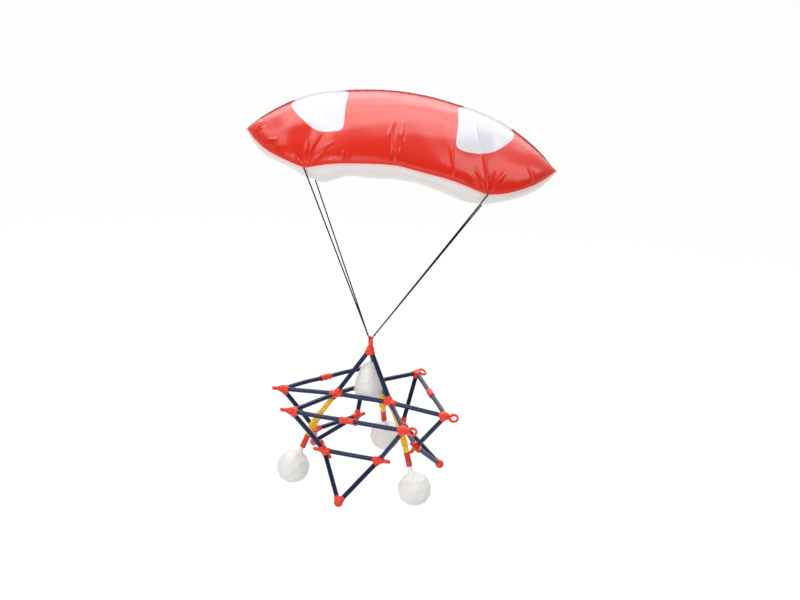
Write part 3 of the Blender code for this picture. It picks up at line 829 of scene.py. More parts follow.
@dataclass(frozen=True)
class Studio:
    """A white studio with a pale floor: strong lamps above and behind, weaker ones in front.

    The payload hangs in the wing's shade, so a lamp with a grid lights it alone.  Gloss sees
    the white backdrop behind the object, and a dimmer room in front of it.
    """

    floor_height: float = -1.5
    floor_size: float = 120.0
    room_light: float = 0.41
    dim_gloss: float = 0.20
    dim_until: float = -0.1
    white_from: float = 0.6
    boxes: tuple[Softbox, ...] = (
        Softbox("top_softbox", (-0.15, 1.68, 2.55), (0.0, 0.0, -0.20), 3.2, 1.3, 2.9),
        Softbox("back_softbox", (-0.15, 2.70, 1.55), (0.0, 0.0, -0.20), 3.2, 1.4, 1.3),
        Softbox("right_softbox", (1.90, 0.15, 2.50), (0.0, 0.0, -0.20), 1.6, 1.7, 3.0),
        Softbox("left_softbox", (-2.00, 0.65, 2.40), (0.0, 0.0, -0.20), 1.5, 1.0, 2.4),
        Softbox("front_softbox", (-1.7, -2.4, 1.3), (0.0, 0.0, -0.3), 2.4, 2.2, 1.9),
        Softbox("low_softbox", (0.05, -1.0, -0.02), (0.0, 0.0, -0.40), 1.5, 0.5, 1.3),
        Softbox("payload_key", (-1.3, -1.3, 0.75), (0.0, 0.0, -0.40), 0.45, 0.45, 13.0, 20.0),
    )

    def build(self, shelf: FinishShelf) -> None:
        """Makes the floor, lamps and room, and sets how the picture is shown.

        Args:
            shelf: the finishes.
        """
        half = self.floor_size / 2.0
        corners = np.array([
            (x, y, self.floor_height)
            for x, y in ((-half, -half), (half, -half), (half, half), (-half, half))
        ])
        mesh = to_mesh("studio_floor", Surface(corners, [(0, 1, 2, 3)]))
        floor = in_scene("studio_floor", mesh)
        mesh.materials.append(shelf.get(PaintedBoard()))
        for box in self.boxes:
            box.build()
        world = bpy.data.worlds.new("white_room")
        world.use_nodes = True
        tree = world.node_tree
        tree.nodes.clear()
        dim = add_node(tree, "ShaderNodeBackground", None, {"Strength": self.room_light})
        toward = add_node(
            tree, "ShaderNodeSeparateXYZ", None, None,
            {0: add_node(tree, "ShaderNodeTexCoord").outputs["Generated"]},
        )
        behind = add_node(
            tree, "ShaderNodeMapRange", {"clamp": True},
            {
                "From Min": self.dim_until, "From Max": self.white_from,
                "To Min": self.dim_gloss, "To Max": 1.0,
            },
            {"Value": toward.outputs["Y"]},
        )
        backdrop = add_node(
            tree, "ShaderNodeMath", {"operation": "MAXIMUM"}, None,
            {
                0: behind.outputs[0],
                1: add_node(tree, "ShaderNodeLightPath").outputs["Is Camera Ray"],
            },
        )
        white = add_node(
            tree, "ShaderNodeBackground", None, None, {"Strength": backdrop.outputs[0]},
        )
        for node in (dim, white):
            node.inputs["Color"].default_value = WHITE
        mixed = add_node(
            tree, "ShaderNodeMixShader", None, None,
            {0: seen_by_eye(tree), 1: dim.outputs[0], 2: white.outputs[0]},
        )
        add_node(tree, "ShaderNodeOutputWorld", links={"Surface": mixed.outputs[0]})
        bpy.context.scene.world = world
        bpy.context.scene.view_settings.view_transform = "Standard"


# Wing
@dataclass(frozen=True)
class Fold:
    """One crease or soft ridge in a film, straight in the wing's own plan.

    It grows and fades between shares of its length, and it widens on the way.
    """

    start: tuple[float, float]
    end: tuple[float, float]
    width: float
    depth: float
    grows: tuple[float, float] = (-0.06, 0.08)
    fades: tuple[float, float] = (0.35, 1.0)
    first_width: float = 0.6
    widening: float = 0.8

    def raise_at(self, x: np.ndarray, y: np.ndarray) -> np.ndarray:
        """How far the fold lifts a film.

        Args:
            x: millimetres along the span.
            y: millimetres back from mid-chord.

        Returns:
            The lift in millimetres, highest near the start and none past the end.
        """
        (x0, y0), (x1, y1) = self.start, self.end
        run = math.hypot(x1 - x0, y1 - y0)
        along = ((x - x0) * (x1 - x0) + (y - y0) * (y1 - y0)) / run / run
        across = ((x - x0) * (y1 - y0) - (y - y0) * (x1 - x0)) / run
        fade = smooth_step(along, *self.grows) * (1.0 - smooth_step(along, *self.fades))
        spread = self.width * (self.first_width + self.widening * np.clip(along, 0.0, 1.0))
        shape = np.exp(-np.abs(across / spread) ** 2.0)
        return self.depth * fade * shape


@dataclass(frozen=True)
class Waves:
    """Small waves in a film: their height, the lengths mixed in them and where they begin.

    All are in millimetres but for the phase.
    """

    height: float
    lengths: tuple[float, ...]
    phase: float

    def raise_at(self, place: np.ndarray) -> np.ndarray:
        """How far the waves lift a film; they never quite repeat.

        Args:
            place: millimetres across the waves.

        Returns:
            The lift in millimetres.
        """
        total = np.zeros(place.shape)
        for number, length in enumerate(self.lengths):
            start = self.phase * (number + 1.7) ** 2
            total = total + np.sin(2.0 * math.pi * place / length + start)
        return self.height * (total / len(self.lengths))


@dataclass
class Wing:
    """The inflated wing: a printed upper film and a white lower film, sealed all round."""

    half_span: float = 0.2320
    arch: float = 0.0363
    arch_power: float = 1.62
    front: float = 0.0972
    front_power: float = 4.16
    rear: float = 0.0833
    rear_outline_power: float = 3.51
    crown: float = 0.0256
    belly: float = 0.0638
    pitch_degrees: float = 25.6
    bank_degrees: float = 4.5
    front_pull: float = 0.0132
    middle_rise: float = 0.0057
    pull_width: float = 0.0370
    pull_power: float = 1.5
    tip_half_width: float = 0.0040
    film_wall: float = 0.0005
    fit: float = 0.0003
    belly_rear_share: float = 0.80
    seal_width: float = 0.0026
    seal_steps: int = 3
    seal_gap: float = 0.00016
    # The seal hangs at the front and stands a little at the rear, between these places in mm
    seal_lean_places: tuple[float, float] = (-25.0, 25.0)
    seal_leans: tuple[float, float] = (-0.85, 0.28)
    seal_flutter: Waves = Waves(0.18, (9.0, 13.0, 21.0), 0.4)
    rear_lift: float = 0.0050
    rear_power: float = 2.0
    span_steps: int = 600
    chord_steps: int = 170
    belly_span_steps: int = 300
    belly_chord_steps: int = 90
    front_line_share: float = 0.571
    rear_left_share: float = 0.771
    rear_right_share: float = 0.827
    line_gap: float = 0.0007
    line_radius: float = 0.0010
    line_step: float = 1.0 / 36.0
    span_shares: tuple[float, ...] = (
        -1.0, -0.85, -0.7, -0.571, -0.45, -0.3, -0.15, 0.0,
        0.15, 0.3, 0.45, 0.571, 0.7, 0.85, 1.0,
    )
    front_rises: tuple[float, ...] = (
        -0.0010, -0.0032, 0.0004, 0.0027, 0.0055, 0.0058, 0.0051, 0.0029,
        0.0029, 0.0040, 0.0030, 0.0017, -0.0020, -0.0008, 0.0032,
    )
    rear_rises: tuple[float, ...] = (
        -0.0077, -0.0044, -0.0019, -0.0021, -0.0032, -0.0030, -0.0025, -0.0029,
        -0.0034, -0.0050, -0.0046, -0.0043, -0.0053, -0.0060, -0.0075,
    )
    belly_shares: tuple[float, ...] = (
        0.870, 0.859, 0.742, 0.900, 1.239, 0.996, 1.050, 1.032,
        0.957, 1.095, 1.172, 0.999, 0.902, 0.996, 0.881,
    )
    # White panels on the upper film, as (mm along the span, share of the way to the rear seam)
    panels: tuple[tuple[tuple[float, float], ...], ...] = (
        (
            (-91.0, 1.05), (-91.0, 0.744), (-89.6, 0.586), (-87.0, 0.40), (-86.2, 0.33),
            (-88.0, 0.295), (-92.0, 0.279), (-107.5, 0.279), (-118.9, 0.298),
            (-131.0, 0.355), (-143.0, 0.424), (-159.0, 0.547), (-168.0, 0.68),
            (-173.3, 0.81), (-177.0, 1.05),
        ),
        (
            (75.0, 1.05), (76.0, 0.737), (77.8, 0.6), (77.8, 0.478), (77.5, 0.33),
            (78.5, 0.285), (83.0, 0.262), (91.9, 0.258), (105.0, 0.285), (118.8, 0.319),
            (136.4, 0.409), (147.0, 0.5), (155.0, 0.596), (161.0, 0.70), (163.7, 0.812),
            (166.0, 1.05),
        ),
    )
    upper_folds: tuple[Fold, ...] = (
        # From the front left line: one long bright fold, a lower one and short ones beside them
        Fold((-131.0, -93.0), (-112.0, -34.0), 2.4, 2.6),
        Fold((-129.0, -95.0), (-92.0, -66.0), 2.4, 2.0),
        Fold((-133.0, -93.0), (-134.0, -46.0), 2.6, 1.5),
        Fold((-134.0, -93.0), (-160.0, -66.0), 3.0, 1.2),
        Fold((-75.5, -101.0), (-80.0, -82.0), 1.8, 1.8),
        Fold((-69.0, -101.0), (-72.0, -86.0), 1.6, 1.2),
        Fold((-108.0, 24.0), (-112.5, -24.0), 2.6, 0.8),
        # The crease in the middle of the front edge, with a wedge on either side
        Fold((-9.0, -102.0), (-13.5, -22.0), 1.8, -2.6),
        Fold((-1.8, -26.0), (2.4, -76.0), 2.2, 2.0),
        Fold((-15.0, -26.0), (-20.0, -72.0), 2.0, 1.6),
        Fold((-3.5, -101.0), (-3.0, -62.0), 2.4, 1.2),
        # From the front right line
        Fold((132.6, -93.0), (115.0, -22.0), 2.3, 3.0),
        Fold((131.0, -94.0), (103.0, -66.0), 2.4, 2.2),
        Fold((135.5, -92.0), (161.0, -44.0), 2.8, 2.2),
        Fold((134.0, -93.0), (138.0, -50.0), 2.6, -1.5),
        Fold((130.0, -95.0), (92.0, -84.0), 2.4, 1.4),
        Fold((81.0, -97.0), (69.0, -44.0), 2.3, 1.8),
        Fold((198.0, -54.0), (185.0, -26.0), 2.0, 2.2),
        Fold((203.0, -48.0), (191.0, -28.0), 2.0, -1.6),
        Fold((102.0, 24.0), (115.0, -38.0), 2.6, 0.7),
        # Creases beside the left tip
        Fold((-219.5, -28.0), (-209.0, -8.0), 1.8, -2.6),
        Fold((-216.0, -31.0), (-204.0, -12.0), 1.8, 1.9),
        Fold((-199.0, -50.0), (-180.0, -62.0), 2.0, -2.0),
        Fold((-196.0, -44.0), (-175.0, -52.0), 2.2, 1.5),
    )
    # Pleats die away from the seams; each reach is where they grow and where they fade, in mm
    front_pleats: Waves = Waves(0.22, (14.0, 21.7, 9.3), 0.3)
    front_pleat_lean: float = 0.12
    front_pleat_reach: tuple[float, float] = (4.0, 17.0)
    rear_pleats: Waves = Waves(0.35, (11.0, 7.4, 16.1), 2.1)
    rear_pleat_reach: tuple[float, float] = (3.0, 14.0)
    tip_waves: Waves = Waves(0.5, (8.0, 12.5, 19.0), 1.2)
    tip_shares: tuple[float, float] = (0.84, 0.99)
    tip_calm_mm: float = 3.0
    # Long soft waves, with how much they run along the span and along the chord
    long_waves: tuple[tuple[Waves, float, float], ...] = (
        (Waves(0.55, (71.0, 47.0, 96.0), 0.9), 1.0, 0.45),
        (Waves(0.35, (52.0, 83.0, 38.0), 1.7), -0.3, 1.0),
    )
    long_wave_inset: tuple[float, float] = (4.0, 40.0)
    lower_folds: tuple[Fold, ...] = (
        Fold((-131.0, -92.0), (-118.0, -20.0), 3.0, 1.2),
        Fold((132.0, -92.0), (118.0, -20.0), 3.0, 1.2),
        Fold((-8.0, -102.0), (-10.0, -30.0), 3.0, -1.0),
    )

    def on_table(self, shares: np.ndarray, table: tuple[float, ...]) -> np.ndarray:
        """Values on a smooth curve through those of a table.

        Args:
            shares: where along the half span they are wanted.
            table: the values at span_shares.

        Returns:
            The value at each share.
        """
        places, values = np.array(self.span_shares), np.array(table)
        slopes = np.empty(len(places))
        slopes[1:-1] = (values[2:] - values[:-2]) / (places[2:] - places[:-2])
        slopes[0] = (values[1] - values[0]) / (places[1] - places[0])
        slopes[-1] = (values[-1] - values[-2]) / (places[-1] - places[-2])
        spot = np.clip(np.searchsorted(places, shares, side="right") - 1, 0, len(places) - 2)
        width = places[spot + 1] - places[spot]
        part = (shares - places[spot]) / width
        rest = 1.0 - part
        ends = values[spot] * rest ** 2 * (1.0 + 2.0 * part)
        ends = ends + values[spot + 1] * part ** 2 * (1.0 + 2.0 * rest)
        bends = slopes[spot] * part * rest ** 2 - slopes[spot + 1] * part ** 2 * rest
        return ends + bends * width

    def seam(self, shares: np.ndarray, front: bool) -> np.ndarray:
        """Points on a seam, in the wing's own frame.

        Args:
            shares: where along the half span, from -1 at the left tip to 1 at the right.
            front: whether it is the front seam; otherwise it is the rear one.

        Returns:
            The points, one a row.
        """
        reach = np.abs(shares)
        if front:
            depth = -self.front * (1.0 - reach ** self.front_power) - self.tip_half_width
        else:
            depth = self.rear * (1.0 - reach ** self.rear_outline_power) + self.tip_half_width
        height = -self.arch * reach ** self.arch_power
        if front:
            pull = np.abs(reach - self.front_line_share) * self.half_span / self.pull_width
            rise = reach * self.half_span / self.pull_width
            height = height + self.middle_rise * np.exp(-rise ** self.pull_power)
            height = height - self.front_pull * np.exp(-pull ** self.pull_power)
        height = height + self.on_table(shares, self.front_rises if front else self.rear_rises)
        if not front:
            height = height + self.rear_lift * np.sqrt(np.clip(1.0 - reach ** 3.0, 0.0, 1.0))
        return np.stack([self.half_span * shares, depth, height], axis=-1)

    def placed(self, points: np.ndarray) -> np.ndarray:
        """Puts points of the wing into the part's frame.

        Args:
            points: in the wing's own frame, whose origin is mid-chord.

        Returns:
            The same points.
        """
        turn = Matrix.Rotation(math.radians(self.bank_degrees), 3, "Y")
        turn = np.array(turn @ Matrix.Rotation(math.radians(self.pitch_degrees), 3, "X"))
        middle = (self.rear - self.front) / 2.0
        shift = turn @ np.array([0.0, -middle, -self.crown - self.film_wall - self.fit])
        return points @ turn.T + shift

    def line_end(self, share: float, front: bool) -> np.ndarray:
        """The point beside the seam where a line is held.

        Args:
            share: where along the half span it is.
            front: whether it is at the front seam.

        Returns:
            The point in the part's frame.
        """
        ends = self.seam(np.array([share - self.line_step, share + self.line_step]), front)
        outward = np.cross(ends[1] - ends[0], (0.0, 0.0, 1.0))
        outward = unit(outward) * (1.0 if front else -1.0)
        reach = self.film_wall + self.line_gap + self.line_radius
        return self.placed(self.seam(np.array([share]), front)[0] + outward * reach)

    def skin(self, film: Film) -> tuple[np.ndarray, np.ndarray, np.ndarray]:
        """One film's grid of points in the wing's own frame, without its wrinkles.

        Args:
            film: which of the two.

        Returns:
            The points, spans by chords by coordinates, and both grids of shares.
        """
        upper = film is Film.UPPER
        spans = self.span_steps if upper else self.belly_span_steps
        chords = self.chord_steps if upper else self.belly_chord_steps
        share = np.sin(np.linspace(-1.0, 1.0, spans + 1) * math.pi / 2.0)
        chord = np.linspace(0.0, 1.0, chords + 1)
        across = ((1.0 - np.cos(math.pi * chord)) / 2.0)[None, :, None]
        points = self.seam(share, True)[:, None] * (1.0 - across)
        points = points + self.seam(share, False)[:, None] * across
        fullness = np.sqrt(np.clip(1.0 - np.abs(share) ** 3.0, 0.0, 1.0))[:, None]
        bulge = np.sin(math.pi * chord)[None, :]
        behind = np.clip(-np.cos(math.pi * chord), 0.0, 1.0)[None, :]
        if upper:
            flatter = 1.0 - behind ** self.rear_power
            bulge = np.where(behind > 0.0, flatter, bulge)
            points[..., 2] += self.crown * fullness * bulge
            sag = across[..., 0] - behind ** 2.0
            points[..., 2] -= self.rear_lift * fullness * sag
        else:
            rear = np.minimum((1.0 - chord) / self.belly_rear_share, 1.0)
            fullness = fullness * self.on_table(share, self.belly_shares)[:, None]
            bulge = bulge * np.sin(rear * math.pi / 2.0)[None, :]
            points[..., 2] -= self.belly * fullness * bulge
        return points, share, chord

    def wrinkles(self, points: np.ndarray, share: np.ndarray, film: Film) -> np.ndarray:
        """How far the film's wrinkles lift it, in metres.

        Args:
            points: the film's grid in the wing's own frame.
            share: the shares of the half span of the grid's rows.
            film: which of the two.

        Returns:
            The lift along the film's outward direction at each point.
        """
        step = np.linalg.norm(np.diff(points, axis=1), axis=-1)
        start = np.zeros((len(points), 1))
        near = np.concatenate([start, np.cumsum(step, axis=1)], axis=1) / MM
        far = near[:, -1:] - near
        x, y = points[..., 0] / MM, points[..., 1] / MM
        pleats = self.front_pleats.raise_at(x + self.front_pleat_lean * near)
        lift = pleats * grow_and_fade(near, *self.front_pleat_reach)
        lift += self.rear_pleats.raise_at(x) * grow_and_fade(far, *self.rear_pleat_reach)
        tip = smooth_step(np.abs(share), *self.tip_shares)[:, None]
        lift += tip * self.tip_waves.raise_at(y)
        inside = smooth_step(np.minimum(near, far), *self.long_wave_inset)
        for waves, x_share, y_share in self.long_waves:
            lift += inside * waves.raise_at(x_share * x + y_share * y)
        for fold in self.upper_folds if film is Film.UPPER else self.lower_folds:
            lift += fold.raise_at(x, y)
        from_tip = (1.0 - np.abs(share)) * self.half_span / MM
        return lift * np.minimum(1.0, from_tip / self.tip_calm_mm)[:, None] * MM

    def film_surface(
        self, film: Film,
    ) -> tuple[Surface, np.ndarray, np.ndarray, np.ndarray]:
        """One film with its wrinkles and its half of the seal.

        Args:
            film: which of the two.

        Returns:
            The surface, and for each corner the millimetres inside a white panel, the
            millimetres out onto the seal and the place between front and rear.
        """
        points, share, chord = self.skin(film)
        sign = 1.0 if film is Film.UPPER else -1.0
        normal = np.cross(np.gradient(points, axis=0), np.gradient(points, axis=1))
        normal = unit(normal) * sign
        inner = points + normal * self.wrinkles(points, share, film)[..., None]
        inner[..., 2] += sign * self.fit / 2.0
        inner[:, (0, -1)] = points[:, (0, -1)]
        inner[(0, -1), :] = points[(0, -1), :]
        spans, chords = points.shape[:2]
        index = np.arange(spans * chords).reshape(spans, chords)
        loop = np.concatenate([
            index[:, 0], index[-1, 1:], index[-2::-1, -1], index[0, -2:0:-1],
        ])
        rim = points.reshape(-1, 3)[loop]
        along = unit(np.roll(rim, -1, axis=0) - np.roll(rim, 1, axis=0))
        outward = unit(np.cross(along, (0.0, 0.0, 1.0)))
        reach = np.cumsum(np.linalg.norm(rim - np.roll(rim, 1, axis=0), axis=1)) / MM
        lean = np.interp(rim[:, 1] / MM, self.seal_lean_places, self.seal_leans)
        curl = self.seal_flutter.raise_at(reach) * MM + lean * self.seal_width
        corners = [inner.reshape(-1, 3)]
        seal = [np.full(spans * chords, -1.0)]
        faces = quads(index[:-1, :-1], index[1:, :-1], index[1:, 1:], index[:-1, 1:])
        last = loop
        for step in range(1, self.seal_steps + 1):
            part = step / self.seal_steps
            row = rim + outward * self.seal_width * part
            row[:, 2] += part * curl + sign * self.seal_gap / 2.0
            corners.append(row)
            seal.append(np.full(len(loop), part * self.seal_width / MM))
            after = spans * chords + (step - 1) * len(loop) + np.arange(len(loop))
            faces += quads(last, after, np.roll(after, -1), np.roll(last, -1))
            last = after
        everything = np.concatenate(corners)
        panel = np.full(len(everything), -10.0)
        if film is Film.UPPER:
            grid = self.panel_distance(points, chord).ravel()
            panel = np.concatenate([grid] + [grid[loop]] * self.seal_steps)
        else:
            faces = [face[::-1] for face in faces]
        surface = Surface(self.placed(everything), faces)
        return surface, panel, np.concatenate(seal), everything[:, 1]

    def panel_distance(self, points: np.ndarray, chord: np.ndarray) -> np.ndarray:
        """Millimetres inside the nearest white panel's edge, less than 0 outside.

        Args:
            points: the upper film's grid in the wing's own frame.
            chord: the shares along the chord of the grid's columns.

        Returns:
            The distance at each point.
        """
        x = points[..., 0] / MM
        across = ((1.0 - np.cos(math.pi * chord)) / 2.0)[None, :] + 0.0 * x
        depth = (points[:, -1, 1] - points[:, 0, 1]) / MM
        best = np.full(x.shape, -1e3)
        for panel in self.panels:
            outline = rounded(np.array(panel), 3)
            scale = np.interp(outline[:, 0], points[:, 0, 0] / MM, depth)
            border = np.stack([outline[:, 0], outline[:, 1] * scale], axis=-1)
            spots = np.stack([x, across * depth[:, None]], axis=-1)
            best = np.maximum(best, inside_distance(spots, border))
        return best

    def build(self, shelf: FinishShelf) -> None:
        """Args:
            shelf: the finishes.
        """
        for film, finish, slot in (
            (Film.UPPER, PRINTED_FILM, "film_red"), (Film.LOWER, BELLY_FILM, "film_white"),
        ):
            surface, panel, seal, panel_front = self.film_surface(film)
            mesh = to_mesh(f"{film.value}_film_sheet", surface, crisp=180.0)
            front = (panel_front < 0.0).astype(float)
            for name, values in (
                ("panel_mm", panel), ("seal_mm", seal), ("front_share", front),
            ):
                layer = mesh.attributes.new(name, "FLOAT", "POINT")
                layer.data.foreach_set("value", values.astype(np.float32))
            made = add_piece(
                f"{film.value}_film_sheet", mesh, shelf.get(finish), Body.CANOPY,
                (f"{film.value}_film",),
            )
            points, _, _ = self.skin(film)


def grow_and_fade(reach: np.ndarray, grown: float, faded: float) -> np.ndarray:
    """A share that grows from 0 over the first length and dies away over the second."""
    return np.exp(-reach / faded) * (1.0 - np.exp(-reach / grown))


def rounded(outline: np.ndarray, rounds: int) -> np.ndarray:
    """A closed outline with its corners cut until it is smooth.

    Args:
        outline: its corners in order.
        rounds: how often they are cut.

    Returns:
        The new corners.
    """
    for _ in range(rounds):
        after = np.roll(outline, -1, axis=0)
        cut = np.stack([outline * 0.75 + after * 0.25, outline * 0.25 + after * 0.75], axis=1)
        outline = cut.reshape(-1, 2)
    return outline


def inside_distance(spots: np.ndarray, outline: np.ndarray) -> np.ndarray:
    """How far spots are inside a closed outline, less than 0 outside.

    Args:
        spots: a grid of points in a plane.
        outline: the outline's corners in order.

    Returns:
        The distance at each spot.
    """
    nearest = np.full(spots.shape[:2], 1e9)
    crossings = np.zeros(spots.shape[:2], dtype=int)
    for start, end in zip(outline, np.roll(outline, -1, axis=0)):
        run = end - start
        share = np.clip(((spots - start) @ run) / max(float(run @ run), 1e-12), 0.0, 1.0)
        gap = np.linalg.norm(spots - start - share[..., None] * run, axis=-1)
        nearest = np.minimum(nearest, gap)
        straddles = (start[1] > spots[..., 1]) != (end[1] > spots[..., 1])
        level = (spots[..., 1] - start[1]) / (run[1] if run[1] else 1e-12)
        crossings += straddles & (spots[..., 0] < start[0] + level * run[0])
    return np.where(crossings % 2 == 1, nearest, -nearest)


# Payload
@dataclass(frozen=True)
class Arm:
    """One arm of a connector: its direction and what it ends in."""

    direction: tuple[float, float, float]
    kind: ArmKind
    ring_axis: tuple[float, float, float] = (0.0, 0.0, 1.0)


@dataclass
class Payload:
    """The folded frame of straws and connectors: where its hubs are and what joins them."""

    pitch: float = 0.090
    rim_droop: float = 5.3
    brace_lean: float = 23.9
    tip_splay: float = 45.0
    turn_degrees: float = -13.6
    place: tuple[float, float, float] = (-0.0350, 0.0259, -0.4465)
    left_rail_bow: float = -0.0012
    left_corner_sag: float = 0.0055
    leg_degrees: dict[str, float] = field(
        default_factory=lambda: {"left": 210.0, "right": -30.0, "back": 90.0}
    )

    def __post_init__(self) -> None:
        """Works out the hubs and runs."""
        self.hubs = {name: self.to_part(spot) for name, spot in self.local_hubs().items()}
        self.hubs["left_coupler"][2] += self.left_rail_bow
        self.hubs["left_rim_a"][2] -= self.left_corner_sag
        self.runs = self.straw_runs()

    def to_part(self, spot: np.ndarray) -> np.ndarray:
        """A point of the payload's own frame in the part's frame."""
        return self.turned(spot) + np.array(self.place)

    def turned(self, direction: np.ndarray, degrees: float | None = None) -> np.ndarray:
        """Turns a direction about the upright.

        Args:
            direction: what is turned.
            degrees: how far, or None for the payload's own turn.

        Returns:
            The new direction.
        """
        angle = math.radians(self.turn_degrees if degrees is None else degrees)
        x, y, z = direction
        return np.array([
            x * math.cos(angle) - y * math.sin(angle), x * math.sin(angle) + y * math.cos(angle), z,
        ])

    def local_hubs(self) -> dict[str, np.ndarray]:
        """Every hub's centre about the middle of the cradle."""
        cradle = self.pitch / math.sqrt(3.0)
        height = self.pitch * math.sqrt(3.0) / 2.0
        droop, lean = math.radians(self.rim_droop), math.radians(self.brace_lean)
        splay = math.radians(self.tip_splay)
        rim = np.array([0.0, -cradle / 2.0 - height * math.cos(droop), -height * math.sin(droop)])
        brace = rim + np.array([0.0, height * math.sin(lean), -height * math.cos(lean)])
        tip = brace - np.array([0.0, height * math.sin(splay), height * math.cos(splay)])
        hubs = {"apex": np.array([0.0, 0.0, self.pitch * math.sqrt(2.0 / 3.0)])}
        for leg, degrees in self.leg_degrees.items():
            hubs[f"cradle_{leg}"] = self.turned(np.array([cradle, 0.0, 0.0]), degrees)
        across = np.array([self.pitch, 0.0, 0.0])
        for number, panel in enumerate(("front", "right", "left")):
            turn = 120.0 * number
            for side, sign in (("a", -1.0), ("b", 1.0)):
                hubs[f"{panel}_rim_{side}"] = self.turned(rim + sign * across, turn)
                hubs[f"{panel}_brace_{side}"] = self.turned(brace + sign * across / 2.0, turn)
            hubs[f"{panel}_coupler"] = self.turned(rim, turn)
            hubs[f"{panel}_tip"] = self.turned(tip, turn)
        return hubs

    def straw_runs(self) -> list[tuple[str, str, str, str]]:
        """Every straw: its name, the hubs that it joins and the CAD node that it stands for."""
        cradles = {
            "front_rim_a": "cradle_left", "front_rim_b": "cradle_right",
            "right_rim_a": "cradle_right", "right_rim_b": "cradle_back",
            "left_rim_a": "cradle_back", "left_rim_b": "cradle_left",
        }
        runs = [(f"apex_straw_{leg}", "apex", f"cradle_{leg}") for leg in self.leg_degrees]
        runs += [
            ("cradle_straw_front", "cradle_left", "cradle_right"),
            ("cradle_straw_right", "cradle_right", "cradle_back"),
            ("cradle_straw_left", "cradle_back", "cradle_left"),
        ]
        for panel in ("front", "right", "left"):
            for side in ("a", "b"):
                rim = f"{panel}_rim_{side}"
                runs.append((f"{panel}_arm_straw_{side}", cradles[rim], rim))
                runs.append((f"{panel}_side_straw_{side}", rim, f"{panel}_brace_{side}"))
        found = [(name, first, second, name) for name, first, second in runs]
        for panel in ("front", "right", "left"):
            bar, vee, rail = f"{panel}_cross_bar", f"{panel}_tip_vee", f"{panel}_rim_rail"
            found.append((f"{panel}_cross_straw", f"{panel}_brace_a", f"{panel}_brace_b", bar))
            for side in ("a", "b"):
                brace, rim = f"{panel}_brace_{side}", f"{panel}_rim_{side}"
                found.append((f"{panel}_tip_straw_{side}", brace, f"{panel}_tip", vee))
                found.append((f"{panel}_rim_straw_{side}", rim, f"{panel}_coupler", rail))
        return found

    def neighbours(self, hub: str) -> list[str]:
        """The hubs that straws join to one hub."""
        pairs = [(first, second) for _, first, second, _ in self.runs]
        return [b if a == hub else a for a, b in pairs if hub in (a, b)]

    def leg_direction(self, leg: str, slope: float) -> np.ndarray:
        """The direction in which a leg runs at a slope from straight down, in degrees."""
        flat, fall = math.sin(math.radians(slope)), math.cos(math.radians(slope))
        return self.turned(self.turned(np.array([flat, 0.0, -fall]), self.leg_degrees[leg]))


@dataclass
class StrawSet:
    """The navy straws: pipes with eight soft flats, some a little bowed, their cut ends showing."""

    radius: float = 0.0038
    wall: float = 0.00045
    collar_reach: float = 0.0105
    coupler_reach: float = 0.0112
    fit: float = 0.0003
    sides: int = 40
    flats: float = 0.85
    steps: int = 12
    cut_share: float = 0.012
    cut_round: float = 0.00012
    # How far each straw bows and which way, in metres; the others are straight
    bows: dict[str, tuple[float, float, float]] = field(default_factory=lambda: {
        "left_rim_straw_a": (0.0, 0.0, 0.0010),
        "left_rim_straw_b": (0.0, 0.0, 0.0012),
        "front_side_straw_a": (0.0006, 0.0, 0.0),
        "right_rim_straw_a": (0.0004, 0.0, 0.0004),
        "front_rim_straw_a": (0.0, 0.0, -0.0005),
    })

    def surface(self, start: np.ndarray, end: np.ndarray, bow: np.ndarray) -> Surface:
        """One straw, its cut ends rounded.

        Args:
            start: where it begins.
            end: where it ends.
            bow: how far its middle is aside.

        Returns:
            The pipe.
        """
        share = np.linspace(0.0, 1.0, self.steps + 1)
        share[1], share[-2] = self.cut_share, 1.0 - self.cut_share
        bend = 4.0 * share * (1.0 - share)
        path = start + (end - start) * share[:, None] + bow * bend[:, None]
        radii = np.full(len(path), self.radius)
        radii[[0, -1]] -= self.cut_round
        return pipe(path, radii, self.wall, self.sides, self.flats)

    def build(self, payload: Payload, shelf: FinishShelf) -> None:
        """Makes every straw between its hubs.

        Args:
            payload: gives the hubs.
            shelf: the finishes.
        """
        for name, first, second, node in payload.runs:
            start, end = payload.hubs[first], payload.hubs[second]
            along = unit(end - start)
            near = self.collar_reach + self.fit
            far = self.coupler_reach if second.endswith("_coupler") else near
            bow = np.array(self.bows.get(name, (0.0, 0.0, 0.0)))
            surface = self.surface(start + along * near, end - along * far, bow)
            add_piece(
                f"{name}_pipe", to_mesh(name, surface), shelf.get(NAVY_STRAW), Body.PAYLOAD,
                (node,),
            )


@dataclass(frozen=True)
class RingShape:
    """A moulded ring: radius and reach of its middle, half its thickness, more at its root."""

    radius: float
    reach: float
    tube: float
    root_extra: float


